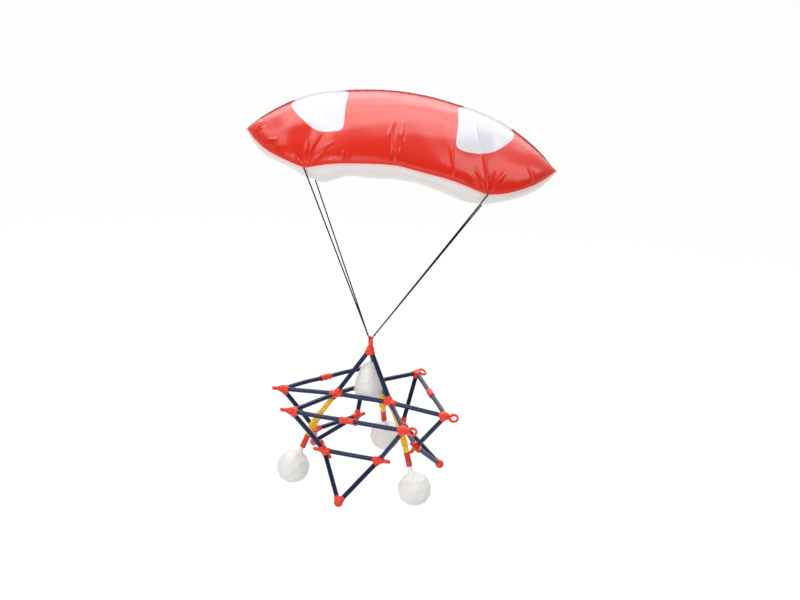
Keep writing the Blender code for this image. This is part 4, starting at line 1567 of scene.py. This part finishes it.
@dataclass
class ConnectorSet:
    """The moulded connectors: a round core with thick collars, bare pegs and rings."""

    core_radius: float = 0.0064
    tip_core_radius: float = 0.0072
    root_radius: float = 0.0056
    mouth_radius: float = 0.0046
    collar_reach: float = 0.0105
    collar_step: float = 0.0006
    lip_length: float = 0.0022
    lip_taper: float = 0.0001
    peg_radius: float = 0.0031
    peg_reach: float = 0.0186
    peg_root_reach: float = 0.0078
    peg_neck_radius: float = 0.0034
    peg_shoulder_radius: float = 0.0046
    peg_shoulder_reach: float = 0.0048
    rim_ring: RingShape = RingShape(0.0062, 0.0130, 0.0020, 0.0005)
    rim_ring_lift: float = 1.8
    apex_ring: RingShape = RingShape(0.0062, 0.0136, 0.0021, 0.0012)
    apex_ring_axis: tuple[float, float, float] = (0.966, 0.259, 0.0)
    ring_neck_radius: float = 0.0034
    ring_neck_overlap: float = 0.0005
    ring_steps: int = 40
    ring_sides: int = 14
    cone_sides: int = 28
    coupler_half: float = 0.0112
    coupler_radius: float = 0.0049
    coupler_sides: int = 32
    voxel: float = 0.00045
    soften_factor: float = 0.5
    soften_rounds: int = 14
    free_pegs: dict[str, tuple[str, ...]] = field(default_factory=lambda: {
        "front_rim_a": ("front_coupler",),
        "left_rim_b": ("cradle_left",),
        "left_rim_a": ("left_coupler",),
        "front_brace_a": ("front_brace_b", "front_rim_a", "front_tip"),
        "front_brace_b": ("front_brace_a",),
        "right_brace_a": ("right_brace_b", "right_rim_a", "right_tip"),
        "right_brace_b": ("right_brace_a",),
        "left_brace_a": ("left_brace_b", "left_rim_a"),
        "left_brace_b": ("left_brace_a", "left_tip"),
    })
    rings: dict[str, str] = field(default_factory=lambda: {
        "front_rim_b": "front_coupler",
        "right_rim_a": "cradle_right",
        "right_rim_b": "cradle_back",
    })

    def arms(self, payload: Payload, hub: str) -> list[Arm]:
        """All the arms of one connector.

        Args:
            payload: gives the hubs.
            hub: the connector's hub.

        Returns:
            The arms.
        """
        centre = payload.hubs[hub]
        arms = [
            Arm(tuple(unit(payload.hubs[other] - centre)), ArmKind.COLLAR)
            for other in payload.neighbours(hub)
        ]
        if hub.startswith("cradle_"):
            leg = hub.removeprefix("cradle_")
            arms.append(Arm(tuple(payload.leg_direction(leg, Legs.upper_slope)), ArmKind.COLLAR))
        for other in self.free_pegs.get(hub, ()):
            arms.append(Arm(tuple(unit(centre - payload.hubs[other])), ArmKind.BARE_PEG))
        if hub in self.rings:
            direction = unit(centre - payload.hubs[self.rings[hub]])
            local = payload.turned(centre - np.array(payload.place), -payload.turn_degrees)
            outward = unit(np.array([local[0], local[1], 0.0]))
            hole = np.cross(outward, (0.0, 0.0, 1.0)) + outward
            hole[2] += self.rim_ring_lift
            arms.append(Arm(tuple(direction), ArmKind.RING, tuple(payload.turned(hole))))
        if hub == "apex":
            arms.append(Arm((0.0, 0.0, 1.0), ArmKind.LINE_RING, self.apex_ring_axis))
        return arms

    def add_cone(
        self, work: bmesh.types.BMesh, centre: np.ndarray, direction: np.ndarray,
        span: tuple[float, float], radii: tuple[float, float],
    ) -> None:
        """Adds a round cone to a connector.

        Args:
            work: the connector's mesh.
            centre: the connector's centre.
            direction: the cone's direction, one long.
            span: where along the direction the cone starts and ends.
            radii: its radius at either end.
        """
        middle = centre + direction * (span[0] + span[1]) / 2.0
        bmesh.ops.create_cone(
            work, cap_ends=True, segments=self.cone_sides, radius1=radii[0], radius2=radii[1],
            depth=span[1] - span[0], matrix=placed_along(middle, direction),
        )

    def add_ball(self, work: bmesh.types.BMesh, centre: np.ndarray, radius: float) -> None:
        """Adds a ball to a connector."""
        bmesh.ops.create_icosphere(
            work, subdivisions=3, radius=radius, matrix=Matrix.Translation(centre.tolist()),
        )

    def add_ring(
        self, work: bmesh.types.BMesh, centre: np.ndarray, direction: np.ndarray,
        axis: np.ndarray, shape: RingShape,
    ) -> None:
        """Adds a ring about an axis to a connector.

        Args:
            work: the connector's mesh.
            centre: the connector's centre.
            direction: from there to the ring's middle, one long.
            axis: about what the ring runs, made square to the direction.
            shape: the ring's sizes.
        """
        axis = unit(axis - direction * float(axis @ direction))
        other = np.cross(axis, direction)
        middle = centre + direction * shape.reach
        rows = []
        for step in range(self.ring_steps):
            angle = 2.0 * math.pi * step / self.ring_steps
            out = direction * math.cos(angle) + other * math.sin(angle)
            thick = shape.tube + shape.root_extra * (1.0 - math.cos(angle)) / 2.0
            row = []
            for side in range(self.ring_sides):
                turn = 2.0 * math.pi * side / self.ring_sides
                spot = middle + out * (shape.radius + thick * math.cos(turn))
                row.append(work.verts.new(spot + axis * thick * math.sin(turn)))
            rows.append(row)
        for row, after in zip(rows, rows[1:] + rows[:1]):
            for side in range(self.ring_sides):
                beside = (side + 1) % self.ring_sides
                work.faces.new((row[side], after[side], after[beside], row[beside]))

    def add_collar(
        self, work: bmesh.types.BMesh, centre: np.ndarray, direction: np.ndarray,
    ) -> None:
        """Adds a thick collar with a lip at its mouth.

        Args:
            work: the connector's mesh.
            centre: the connector's centre.
            direction: the collar's direction, one long.
        """
        reach, mouth, taper = self.collar_reach, self.mouth_radius, self.lip_taper
        self.add_cone(
            work, centre, direction, (0.0, reach - self.collar_step), (self.root_radius, mouth),
        )
        self.add_cone(
            work, centre, direction, (reach - self.lip_length, reach),
            (mouth + taper, mouth - taper),
        )

    def add_peg(
        self, work: bmesh.types.BMesh, centre: np.ndarray, direction: np.ndarray,
    ) -> None:
        """Adds a bare peg: a thick root with a round shoulder and a thin round-ended pin.

        Args:
            work: the connector's mesh.
            centre: the connector's centre.
            direction: the peg's direction, one long.
        """
        self.add_cone(
            work, centre, direction, (0.0, self.peg_root_reach),
            (self.root_radius, self.peg_neck_radius),
        )
        shoulder = centre + direction * self.peg_shoulder_reach
        self.add_ball(work, shoulder, self.peg_shoulder_radius)
        pin = self.peg_reach - self.peg_radius
        self.add_cone(work, centre, direction, (0.0, pin), (self.peg_radius, self.peg_radius))
        self.add_ball(work, centre + direction * pin, self.peg_radius)

    def solid(self, payload: Payload, hub: str) -> bpy.types.Mesh:
        """One connector as a single rounded body.

        Args:
            payload: gives the hubs.
            hub: the connector's hub.

        Returns:
            Its mesh.
        """
        centre = payload.hubs[hub]
        work = bmesh.new()
        tip = hub.endswith("_tip")
        self.add_ball(work, centre, self.tip_core_radius if tip else self.core_radius)
        for arm in self.arms(payload, hub):
            direction = np.array(arm.direction)
            if arm.kind is ArmKind.COLLAR:
                self.add_collar(work, centre, direction)
            elif arm.kind is ArmKind.BARE_PEG:
                self.add_peg(work, centre, direction)
            else:
                ring = self.apex_ring if arm.kind is ArmKind.LINE_RING else self.rim_ring
                neck = ring.reach - ring.radius + self.ring_neck_overlap
                self.add_cone(
                    work, centre, direction, (0.0, neck),
                    (self.root_radius, self.ring_neck_radius),
                )
                self.add_ring(work, centre, direction, np.array(arm.ring_axis), ring)
        bmesh.ops.recalc_face_normals(work, faces=work.faces)
        rough = bpy.data.meshes.new(hub)
        work.to_mesh(rough)
        work.free()
        made = in_scene(hub, rough)
        remesh = made.modifiers.new("fuse", "REMESH")
        remesh.mode = "VOXEL"
        remesh.voxel_size = self.voxel
        soften = made.modifiers.new("soften", "SMOOTH")
        soften.factor = self.soften_factor
        soften.iterations = self.soften_rounds
        mesh = evaluated(made)
        mesh.polygons.foreach_set("use_smooth", [True] * len(mesh.polygons))
        return mesh

    def build(self, payload: Payload, shelf: FinishShelf) -> None:
        """Makes every connector and the couplers in the middle of the rims.

        Args:
            payload: gives the hubs.
            shelf: the finishes.
        """
        for hub in payload.hubs:
            if hub.endswith("_coupler"):
                self.build_coupler(payload, hub, shelf)
                continue
            panel = hub.partition("_")[0]
            node = f"{hub}_connector"
            if "_brace_" in hub:
                node = f"{panel}_cross_bar"
            elif hub.endswith("_tip"):
                node = f"{panel}_tip_vee"
            add_piece(
                f"{hub}_moulding", self.solid(payload, hub), shelf.get(RED_CONNECTOR),
                Body.PAYLOAD, (node,),
            )

    def build_coupler(self, payload: Payload, hub: str, shelf: FinishShelf) -> None:
        """Makes a coupler: a short thick sleeve over the two straw ends of a rim.

        Args:
            payload: gives the hubs.
            hub: the coupler's hub.
            shelf: the finishes.
        """
        panel = hub.partition("_")[0]
        middle = payload.hubs[hub]
        along = unit(payload.hubs[f"{panel}_rim_b"] - payload.hubs[f"{panel}_rim_a"])
        half, thick = self.coupler_half, self.coupler_radius
        # One end of the sleeve to the ridge round its middle, as (height, radius)
        profile = [
            (half, thick - 0.0009), (half, thick - 0.0004), (half - 0.0003, thick - 0.0001),
            (half - 0.0008, thick), (half - 0.0030, thick), (half * 0.4, thick - 0.0002),
            (0.0022, thick - 0.0002), (0.0017, thick + 0.0003),
        ]
        both = [(radius, -height) for height, radius in profile]
        both += [(radius, height) for height, radius in profile[::-1]]
        surface = lathe(both, self.coupler_sides, placed_along(middle, along))
        add_piece(
            f"{hub}_sleeve", to_mesh(hub, surface), shelf.get(RED_CONNECTOR), Body.PAYLOAD,
            (f"{panel}_rim_rail",),
        )


@dataclass(frozen=True)
class LegPlace:
    """A leg's name and body, the point it turns about, and its directions, one long."""

    name: str
    body: Body
    bend: np.ndarray
    upper: np.ndarray
    lower: np.ndarray


@dataclass
class Legs:
    """Three legs: a bendy straw, a red sleeve at its end and a white faceted ball."""

    upper_length: float = 0.0554
    upper_slope: float = 35.6
    lower_slope: float = 22.4
    straw_radius: float = 0.0042
    wall: float = 0.00045
    collar_reach: float = 0.0105
    fit: float = 0.0003
    bellows_length: float = 0.0340
    ribs: int = 9
    groove_radius: float = 0.0041
    crest_radius: float = 0.0066
    sleeve_start: float = 0.0262
    sleeve_length: float = 0.0220
    sleeve_radius: float = 0.0048
    sleeve_bore_share: float = 0.9
    straw_in_sleeve: float = 0.002
    stem_length: float = 0.0093
    ball_radius: float = 0.0270
    stem_radius: float = 0.0034
    stem_wall: float = 0.0012
    stem_inset: float = 0.0050
    stem_flare: float = 0.0075
    flare_lip: float = 0.0012
    flare_sink: float = 0.0012
    flare_drop: float = 0.001
    flare_power: float = 2.4
    flare_steps: int = 8
    neck_length: float = 0.003
    edge_softness: float = 0.0004
    path_points: int = 9
    sides: int = 24
    bellows_sides: int = 28
    sleeve_sides: int = 32
    stem_sides: int = 28

    def build(self, payload: Payload, shelf: FinishShelf) -> None:
        """Makes the three legs."""
        for leg in payload.leg_degrees:
            self.build_leg(leg, payload, shelf)

    def build_leg(self, leg: str, payload: Payload, shelf: FinishShelf) -> None:
        """Makes one leg from its connector to its ball.

        Args:
            leg: which of the legs.
            payload: gives the leg's place.
            shelf: the finishes.
        """
        hub = payload.hubs[f"cradle_{leg}"]
        upper = payload.leg_direction(leg, self.upper_slope)
        lower = payload.leg_direction(leg, self.lower_slope)
        bend = hub + upper * self.upper_length
        place = LegPlace(leg, Body(f"{leg}_leg"), bend, upper, lower)
        half = self.bellows_length / 2.0 - self.fit
        share = np.linspace(0.0, 1.0, self.path_points)[:, None]
        radii = np.full(self.path_points, self.straw_radius)
        start = hub + upper * (self.collar_reach + self.fit)
        top = bend - upper * (half + self.fit)
        straight = pipe(start + (top - start) * share, radii, self.wall, self.sides)
        add_piece(
            f"{leg}_leg_upper_pipe", to_mesh(f"{leg}_upper", straight), shelf.get(YELLOW_STRAW),
            Body.PAYLOAD, (f"{leg}_leg_upper_straw",),
        )
        self.build_bellows(place, half, shelf)
        stub = self.bellows_length / 2.0
        path = bend + lower * (stub + (self.sleeve_start + self.straw_in_sleeve - stub) * share)
        short = pipe(path, radii, self.wall, self.sides)
        add_piece(
            f"{leg}_leg_lower_pipe", to_mesh(f"{leg}_lower", short), shelf.get(YELLOW_STRAW),
            place.body, (f"{leg}_leg_sleeve",),
        )
        self.build_sleeve(place, shelf)
        self.build_ball(place, shelf)

    def build_bellows(self, place: LegPlace, half: float, shelf: FinishShelf) -> None:
        """Makes the ribbed stretch, which bends between the payload and the leg.

        Args:
            place: the leg's place.
            half: how far the stretch reaches from the bend along either straw.
            shelf: the finishes.
        """
        # One rib, as (share of its length, share of its height)
        shape = ((0.0, 0.0), (0.10, 0.0), (0.40, 0.9), (0.50, 1.0), (0.60, 0.9), (0.90, 0.0))
        shares, radii = [], []
        for rib in range(self.ribs):
            for part, rise in shape:
                shares.append((rib + part) / self.ribs)
                radii.append(self.groove_radius + (self.crest_radius - self.groove_radius) * rise)
        shares.append(1.0)
        radii.append(self.groove_radius)
        share = np.array(shares)[:, None]
        bend = place.bend
        first, last = bend - place.upper * half, bend + place.lower * half
        path = first * (1.0 - share) ** 2 + 2.0 * bend * share * (1.0 - share) + last * share ** 2
        radii[0] = radii[-1] = self.straw_radius
        surface = pipe(path, np.array(radii), self.wall, self.bellows_sides)
        mesh = to_mesh(f"{place.name}_ribs", surface, crisp=75.0)
        made = in_scene(f"{place.name}_leg_bellows_ribs", mesh)
        mesh.materials.append(shelf.get(YELLOW_STRAW))
        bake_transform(made)
        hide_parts(f"{place.name}_leg_bellows")
        LOG.info("%s bellows: %d ribs", place.name, self.ribs)

    def build_sleeve(self, place: LegPlace, shelf: FinishShelf) -> None:
        """Makes the red sleeve that joins the straw to the ball's stem.

        Args:
            place: the leg's place.
            shelf: the finishes.
        """
        length, wide = self.sleeve_length, self.sleeve_radius
        # One end of the sleeve, as (distance from the end, radius)
        end = [
            (0.0, wide - 0.0008), (0.0, wide - 0.0003), (0.0003, wide), (0.0024, wide + 0.0001),
            (0.0030, wide - 0.0002),
        ]
        steps = end + [(length * 0.5, wide - 0.0003)]
        steps += [(length - run, radius) for run, radius in end[::-1]]
        along, radii = np.array(steps).T
        path = place.bend + place.lower * (self.sleeve_start + along)[:, None]
        back = [-1, 0]
        bore = np.full(len(back), self.straw_radius * self.sleeve_bore_share)
        rings = rings_along(path, radii, self.sleeve_sides, straight=place.lower)
        inner = rings_along(path[back], bore, self.sleeve_sides, straight=place.lower)
        reach = np.concatenate([along, along[back]])
        surface = lofted(np.concatenate([rings, inner]), True, reach, wide)
        mesh = to_mesh(f"{place.name}_sleeve", surface)
        add_piece(
            f"{place.name}_leg_red_sleeve", mesh, shelf.get(RED_SLEEVE), place.body,
            (f"{place.name}_leg_sleeve",),
        )

    def build_ball(self, place: LegPlace, shelf: FinishShelf) -> None:
        """Makes the faceted ball with softened edges and its flared stem.

        Args:
            place: the leg's place.
            shelf: the finishes.
        """
        leg, body = place.name, place.body
        sleeve_end = self.sleeve_start + self.sleeve_length
        centre = place.bend + place.lower * (sleeve_end + self.stem_length + self.ball_radius)
        middle = placed_along(centre, -place.lower)
        work = bmesh.new()
        bmesh.ops.create_icosphere(work, subdivisions=2, radius=self.ball_radius, matrix=middle)
        bmesh.ops.bevel(
            work, geom=list(work.edges), offset=self.edge_softness, segments=2, profile=0.6,
            affect="EDGES",
        )
        ball = bpy.data.meshes.new(f"{leg}_ball")
        work.to_mesh(ball)
        work.free()
        ball.polygons.foreach_set("use_smooth", [False] * len(ball.polygons))
        add_piece(
            f"{leg}_faceted_ball", ball, shelf.get(WHITE_SHELL), body,
            (f"{leg}_ball_foot",),
        )
        top = self.ball_radius + self.stem_length
        foot = math.sqrt(self.ball_radius ** 2 - self.stem_flare ** 2) - self.flare_sink
        profile = [(self.stem_flare + self.flare_lip, foot - self.flare_drop)]
        for share in np.linspace(0.0, 1.0, self.flare_steps):
            spread = (self.stem_flare - self.stem_radius) * (1.0 - share) ** self.flare_power
            rise = (top - self.neck_length - foot) * share
            profile.append((self.stem_radius + spread, foot + rise))
        pin = self.stem_radius - self.stem_wall
        profile += [
            (self.stem_radius, top - self.fit), (pin, top - self.fit), (pin, top + self.stem_inset),
        ]
        mesh = to_mesh(f"{leg}_stem", lathe(profile, self.stem_sides, middle))
        add_piece(
            f"{leg}_ball_stem", mesh, shelf.get(WHITE_SHELL), body, (f"{leg}_ball_foot",),
        )


@dataclass
class EggCapsule:
    """A white egg of two shells that meet at an upright groove, with a plain raised disc."""

    radius: float = 0.0225
    height: float = 0.06597
    depth: float = 0.01404
    bottom_share: float = 0.29
    taper_share: float = 0.12
    wall: float = 0.0014
    groove: float = 0.00035
    slot: float = 0.0011
    slot_low: float = -0.004
    slot_high: float = 0.022
    slot_fade: float = 0.003
    edge_pull: float = 0.0003
    edge_reach: float = 0.0004
    rings: int = 56
    sides: int = 48
    disc_height: float = 0.0300
    disc_radius: float = 0.0078
    disc_rise: float = 0.0008
    disc_sides: int = 48
    outline_points: int = 400

    def outline(self, angle: np.ndarray, inset: float) -> tuple[np.ndarray, np.ndarray]:
        """The egg's outline.

        Args:
            angle: angles from its top.
            inset: how far inside the skin the outline runs.

        Returns:
            The radius and the height at each angle.
        """
        rise = np.maximum(np.cos(angle), 0.0)
        fall = np.minimum(np.cos(angle), 0.0)
        share = self.bottom_share * (1.0 + fall) + (1.0 - self.bottom_share) * rise
        height = inset - self.depth + (self.height - 2.0 * inset) * share
        return (self.radius - inset) * np.sin(angle) * (1.0 - self.taper_share * rise), height

    def half_shell(self, payload: Payload, sign: float) -> Surface:
        """One shell with its wall, from the groove round its own side and back.

        Args:
            payload: gives the egg's place.
            sign: -1 for the front shell and 1 for the rear one.

        Returns:
            The shell's outer and inner skin and the edge between them.
        """
        angle = np.linspace(0.0, math.pi, self.rings + 1)[1:-1]
        layers = []
        for inset in (0.0, self.wall):
            radius, height = self.outline(angle, inset)
            gap = np.full(len(angle), self.groove / 2.0)
            middle = smooth_step(height, self.slot_low - self.slot_fade, self.slot_low)
            above = smooth_step(height, self.slot_high, self.slot_high + self.slot_fade)
            middle = middle * (1.0 - above)
            gap = gap + middle * (self.slot - self.groove) / 2.0
            start = np.arcsin(np.clip(gap / np.maximum(radius, 1e-5), 0.0, 1.0))
            share = np.linspace(0.0, 1.0, self.sides + 1)
            turn = start[:, None] + (math.pi - 2.0 * start[:, None]) * share[None, :]
            soft = np.minimum(share, 1.0 - share)[None, :] * math.pi * radius[:, None]
            pull = self.edge_pull * np.exp(-soft / self.edge_reach) * (inset == 0.0)
            spot = (radius[:, None] - pull)[..., None] * np.stack(
                [np.cos(turn), sign * np.sin(turn)], axis=-1
            )
            tall = height[:, None] + 0.0 * share[None, :]
            layers.append(np.concatenate([spot, tall[..., None]], axis=-1))
        outer, inner = layers
        count, sides = outer.shape[:2]
        corners = np.concatenate([outer.reshape(-1, 3), inner.reshape(-1, 3)])
        index = np.arange(count * sides).reshape(count, sides)
        near, beside, across, far = (
            index[:-1, :-1], index[:-1, 1:], index[1:, 1:], index[1:, :-1],
        )
        shift = count * sides
        faces = quads(near, beside, across, far)
        faces += quads(far + shift, across + shift, beside + shift, near + shift)
        rim = np.concatenate([index[:, 0], index[-1, 1:], index[-2::-1, -1], index[0, -2:0:-1]])
        after = np.roll(rim, -1)
        faces += quads(after, rim, rim + shift, after + shift)
        placed = np.array([payload.to_part(corner) for corner in corners])
        return Surface(placed, faces)

    def disc(self, payload: Payload) -> Surface:
        """A raised round disc with a soft rim that follows the front of the egg.

        Args:
            payload: gives the egg's place.

        Returns:
            The disc.
        """
        # From its middle over the rim into the egg, as (share of its radius, share of its rise)
        rows = [
            (0.0, 0.45), (0.35, 0.45), (0.70, 0.45), (0.76, 0.5), (0.82, 0.95), (0.88, 1.0),
            (0.95, 0.95), (1.0, 0.5), (1.02, 0.0), (1.0, -0.9),
        ]
        corners = []
        radius, height = self.outline(np.linspace(0.0, math.pi, self.outline_points), 0.0)
        for share, rise in rows:
            for side in range(self.disc_sides):
                turn = 2.0 * math.pi * side / self.disc_sides
                across = self.disc_radius * share * math.cos(turn)
                tall = self.disc_height + self.disc_radius * share * math.sin(turn)
                reach = float(np.interp(-tall, -height, radius)) + rise * self.disc_rise
                corners.append(payload.to_part(np.array([
                    reach * math.sin(across / reach), -reach * math.cos(across / reach), tall,
                ])))
        rings = np.array(corners).reshape(len(rows), self.disc_sides, 3)
        return lofted(rings[::-1], False, np.arange(len(rows)) * MM, self.disc_radius)

    def build(self, payload: Payload, shelf: FinishShelf) -> None:
        """Makes both shells and the disc.

        Args:
            payload: gives the egg's place.
            shelf: the finishes.
        """
        for name, sign in (("front", -1.0), ("rear", 1.0)):
            mesh = to_mesh(f"egg_{name}", self.half_shell(payload, sign), crisp=40.0)
            add_piece(
                f"egg_{name}_half", mesh, shelf.get(WHITE_SHELL), Body.EGG,
                (f"egg_{name}_shell",),
            )
        mesh = to_mesh("egg_disc", self.disc(payload), crisp=60.0)
        add_piece("egg_plain_disc", mesh, shelf.get(WHITE_SHELL), Body.EGG)


@dataclass
class Rigging:
    """The four taut lines, the two knots beside the apex ring and the loop through it."""

    line_radius: float = 0.0010
    knot_radius: float = 0.0015
    knot_low_radius: float = 0.001125
    knot_top_radius: float = 0.001512
    knot_height: float = 0.0040
    knot_turns: int = 3
    knot_side: float = 0.0045
    knot_rise: float = 0.0022
    ring_reach: float = 0.0136
    ring_radius: float = 0.0062
    ring_tube: float = 0.0019
    fit: float = 0.0003
    line_points: int = 24
    knot_sides: int = 20
    loop_points: int = 17
    loop_sides: int = 14

    def build(self, wing: Wing, payload: Payload, shelf: FinishShelf) -> None:
        """Makes the lines, knots and loop.

        Args:
            wing: gives the lines' upper ends.
            payload: gives the apex ring's place.
            shelf: the finishes.
        """
        swing = payload.hubs["apex"] + np.array([0.0, 0.0, self.ring_reach + self.ring_radius])
        for side, sign in (("left", -1.0), ("right", 1.0)):
            rear = wing.rear_left_share if side == "left" else wing.rear_right_share
            ends = {
                "front": wing.line_end(sign * wing.front_line_share, True),
                "rear": wing.line_end(sign * rear, False),
            }
            centre = swing + np.array([sign * self.knot_side, 0.0, self.knot_rise])
            axis = unit(sum(unit(end - centre) for end in ends.values()))
            self.build_knot(side, centre, axis, shelf)
            for place, end in ends.items():
                top = centre + axis * self.knot_height
                self.build_line(f"{place}_{side}", top, end, axis, shelf)
        self.build_loop(swing, shelf)

    def build_line(
        self, name: str, top: np.ndarray, end: np.ndarray, axis: np.ndarray, shelf: FinishShelf,
    ) -> None:
        """Args:
            name: the line's place, such as front_left.
            top: the middle of its knot's top.
            end: where it is held beside the seam.
            axis: the knot's axis, one long.
            shelf: the finishes.
        """
        away = end - top
        side = unit(away - axis * float(away @ axis))
        lean = math.acos(float(unit(away) @ axis))
        start = top + side * (self.line_radius + self.fit)
        start = start + axis * (self.fit + self.line_radius * math.sin(lean))
        data = bpy.data.curves.new(f"{name}_cord", "CURVE")
        data.dimensions = "3D"
        data.bevel_depth = self.line_radius
        data.bevel_resolution = 3
        data.use_fill_caps = True
        spline = data.splines.new("POLY")
        spline.points.add(self.line_points - 1)
        for number, point in enumerate(spline.points):
            spot = start + (end - start) * number / (self.line_points - 1)
            point.co = (*spot, 1.0)
        made = in_scene(f"{name}_cord", data)
        data.materials.append(shelf.get(BLACK_CORD))
        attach(made, Body.CANOPY.value)
        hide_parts(f"{name}_line")

    def build_knot(
        self, side: str, centre: np.ndarray, axis: np.ndarray, shelf: FinishShelf,
    ) -> None:
        """Makes a knot: turns of cord wound round two line ends.

        Args:
            side: which of the knots, left or right.
            centre: the knot's centre.
            axis: its axis, toward the lines, one long.
            shelf: the finishes.
        """
        place = placed_along(centre, axis)
        wide, tall, low = self.knot_top_radius, self.knot_height, self.knot_low_radius
        profile = [(0.0002, -low), (low * 0.6, -low * 0.9), (low, -low * 0.3)]
        step = (tall - low * 0.1) / self.knot_turns
        for number in range(self.knot_turns):
            base = low * 0.1 + number * step
            bulge = low + (wide - low) * (number + 1) / self.knot_turns
            profile += [
                (bulge * 0.84, base), (bulge, base + step * 0.3), (bulge, base + step * 0.7),
            ]
        profile += [(wide * 0.8, tall), (0.0002, tall)]
        mesh = to_mesh(f"{side}_knot", lathe(profile, self.knot_sides, place))
        add_piece(
            f"{side}_wound_knot", mesh, shelf.get(BLACK_CORD), Body.CANOPY,
            (f"{side}_line_knot",),
        )

    def build_loop(self, swing: np.ndarray, shelf: FinishShelf) -> None:
        """Makes the loop that hangs from the knots and passes under the ring's top.

        Args:
            swing: the point that the loop turns about.
            shelf: the finishes.
        """
        bend_radius = self.ring_tube + self.fit + self.line_radius
        reach = math.hypot(self.knot_side, self.knot_rise)
        touch = math.acos(bend_radius / reach) - math.atan2(self.knot_rise, self.knot_side)
        turns = -touch - (math.pi - 2.0 * touch) * np.linspace(0.0, 1.0, self.loop_points)
        bend = swing + bend_radius * np.stack(
            [np.cos(turns), 0.0 * turns, np.sin(turns)], axis=-1
        )
        knot = swing + np.array([self.knot_side, 0.0, self.knot_rise])
        start = knot + unit(bend[0] - knot) * (self.knot_radius + self.fit)
        end = start.copy()
        end[0] = 2.0 * swing[0] - start[0]
        path = np.concatenate([[start], bend, [end]])
        surface = rod(path, np.full(len(path), self.line_radius), self.loop_sides)
        mesh = to_mesh("cord_loop", surface)
        add_piece("cord_loop", mesh, shelf.get(BLACK_CORD), Body.LOOP, ("line_loop",))


def main() -> None:
    """Builds the camera, the studio and each sub-assembly in order."""
    logging.basicConfig(level=logging.INFO, format="%(message)s")
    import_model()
    shelf = FinishShelf()
    PhotoCamera().build()
    wing, payload = Wing(), Payload()
    Rigging().build(wing, payload, shelf)
    wing.build(shelf)
    StrawSet().build(payload, shelf)
    ConnectorSet().build(payload, shelf)
    Legs().build(payload, shelf)
    EggCapsule().build(payload, shelf)
    Studio().build(shelf)


if __name__ == "__main__":
    main()
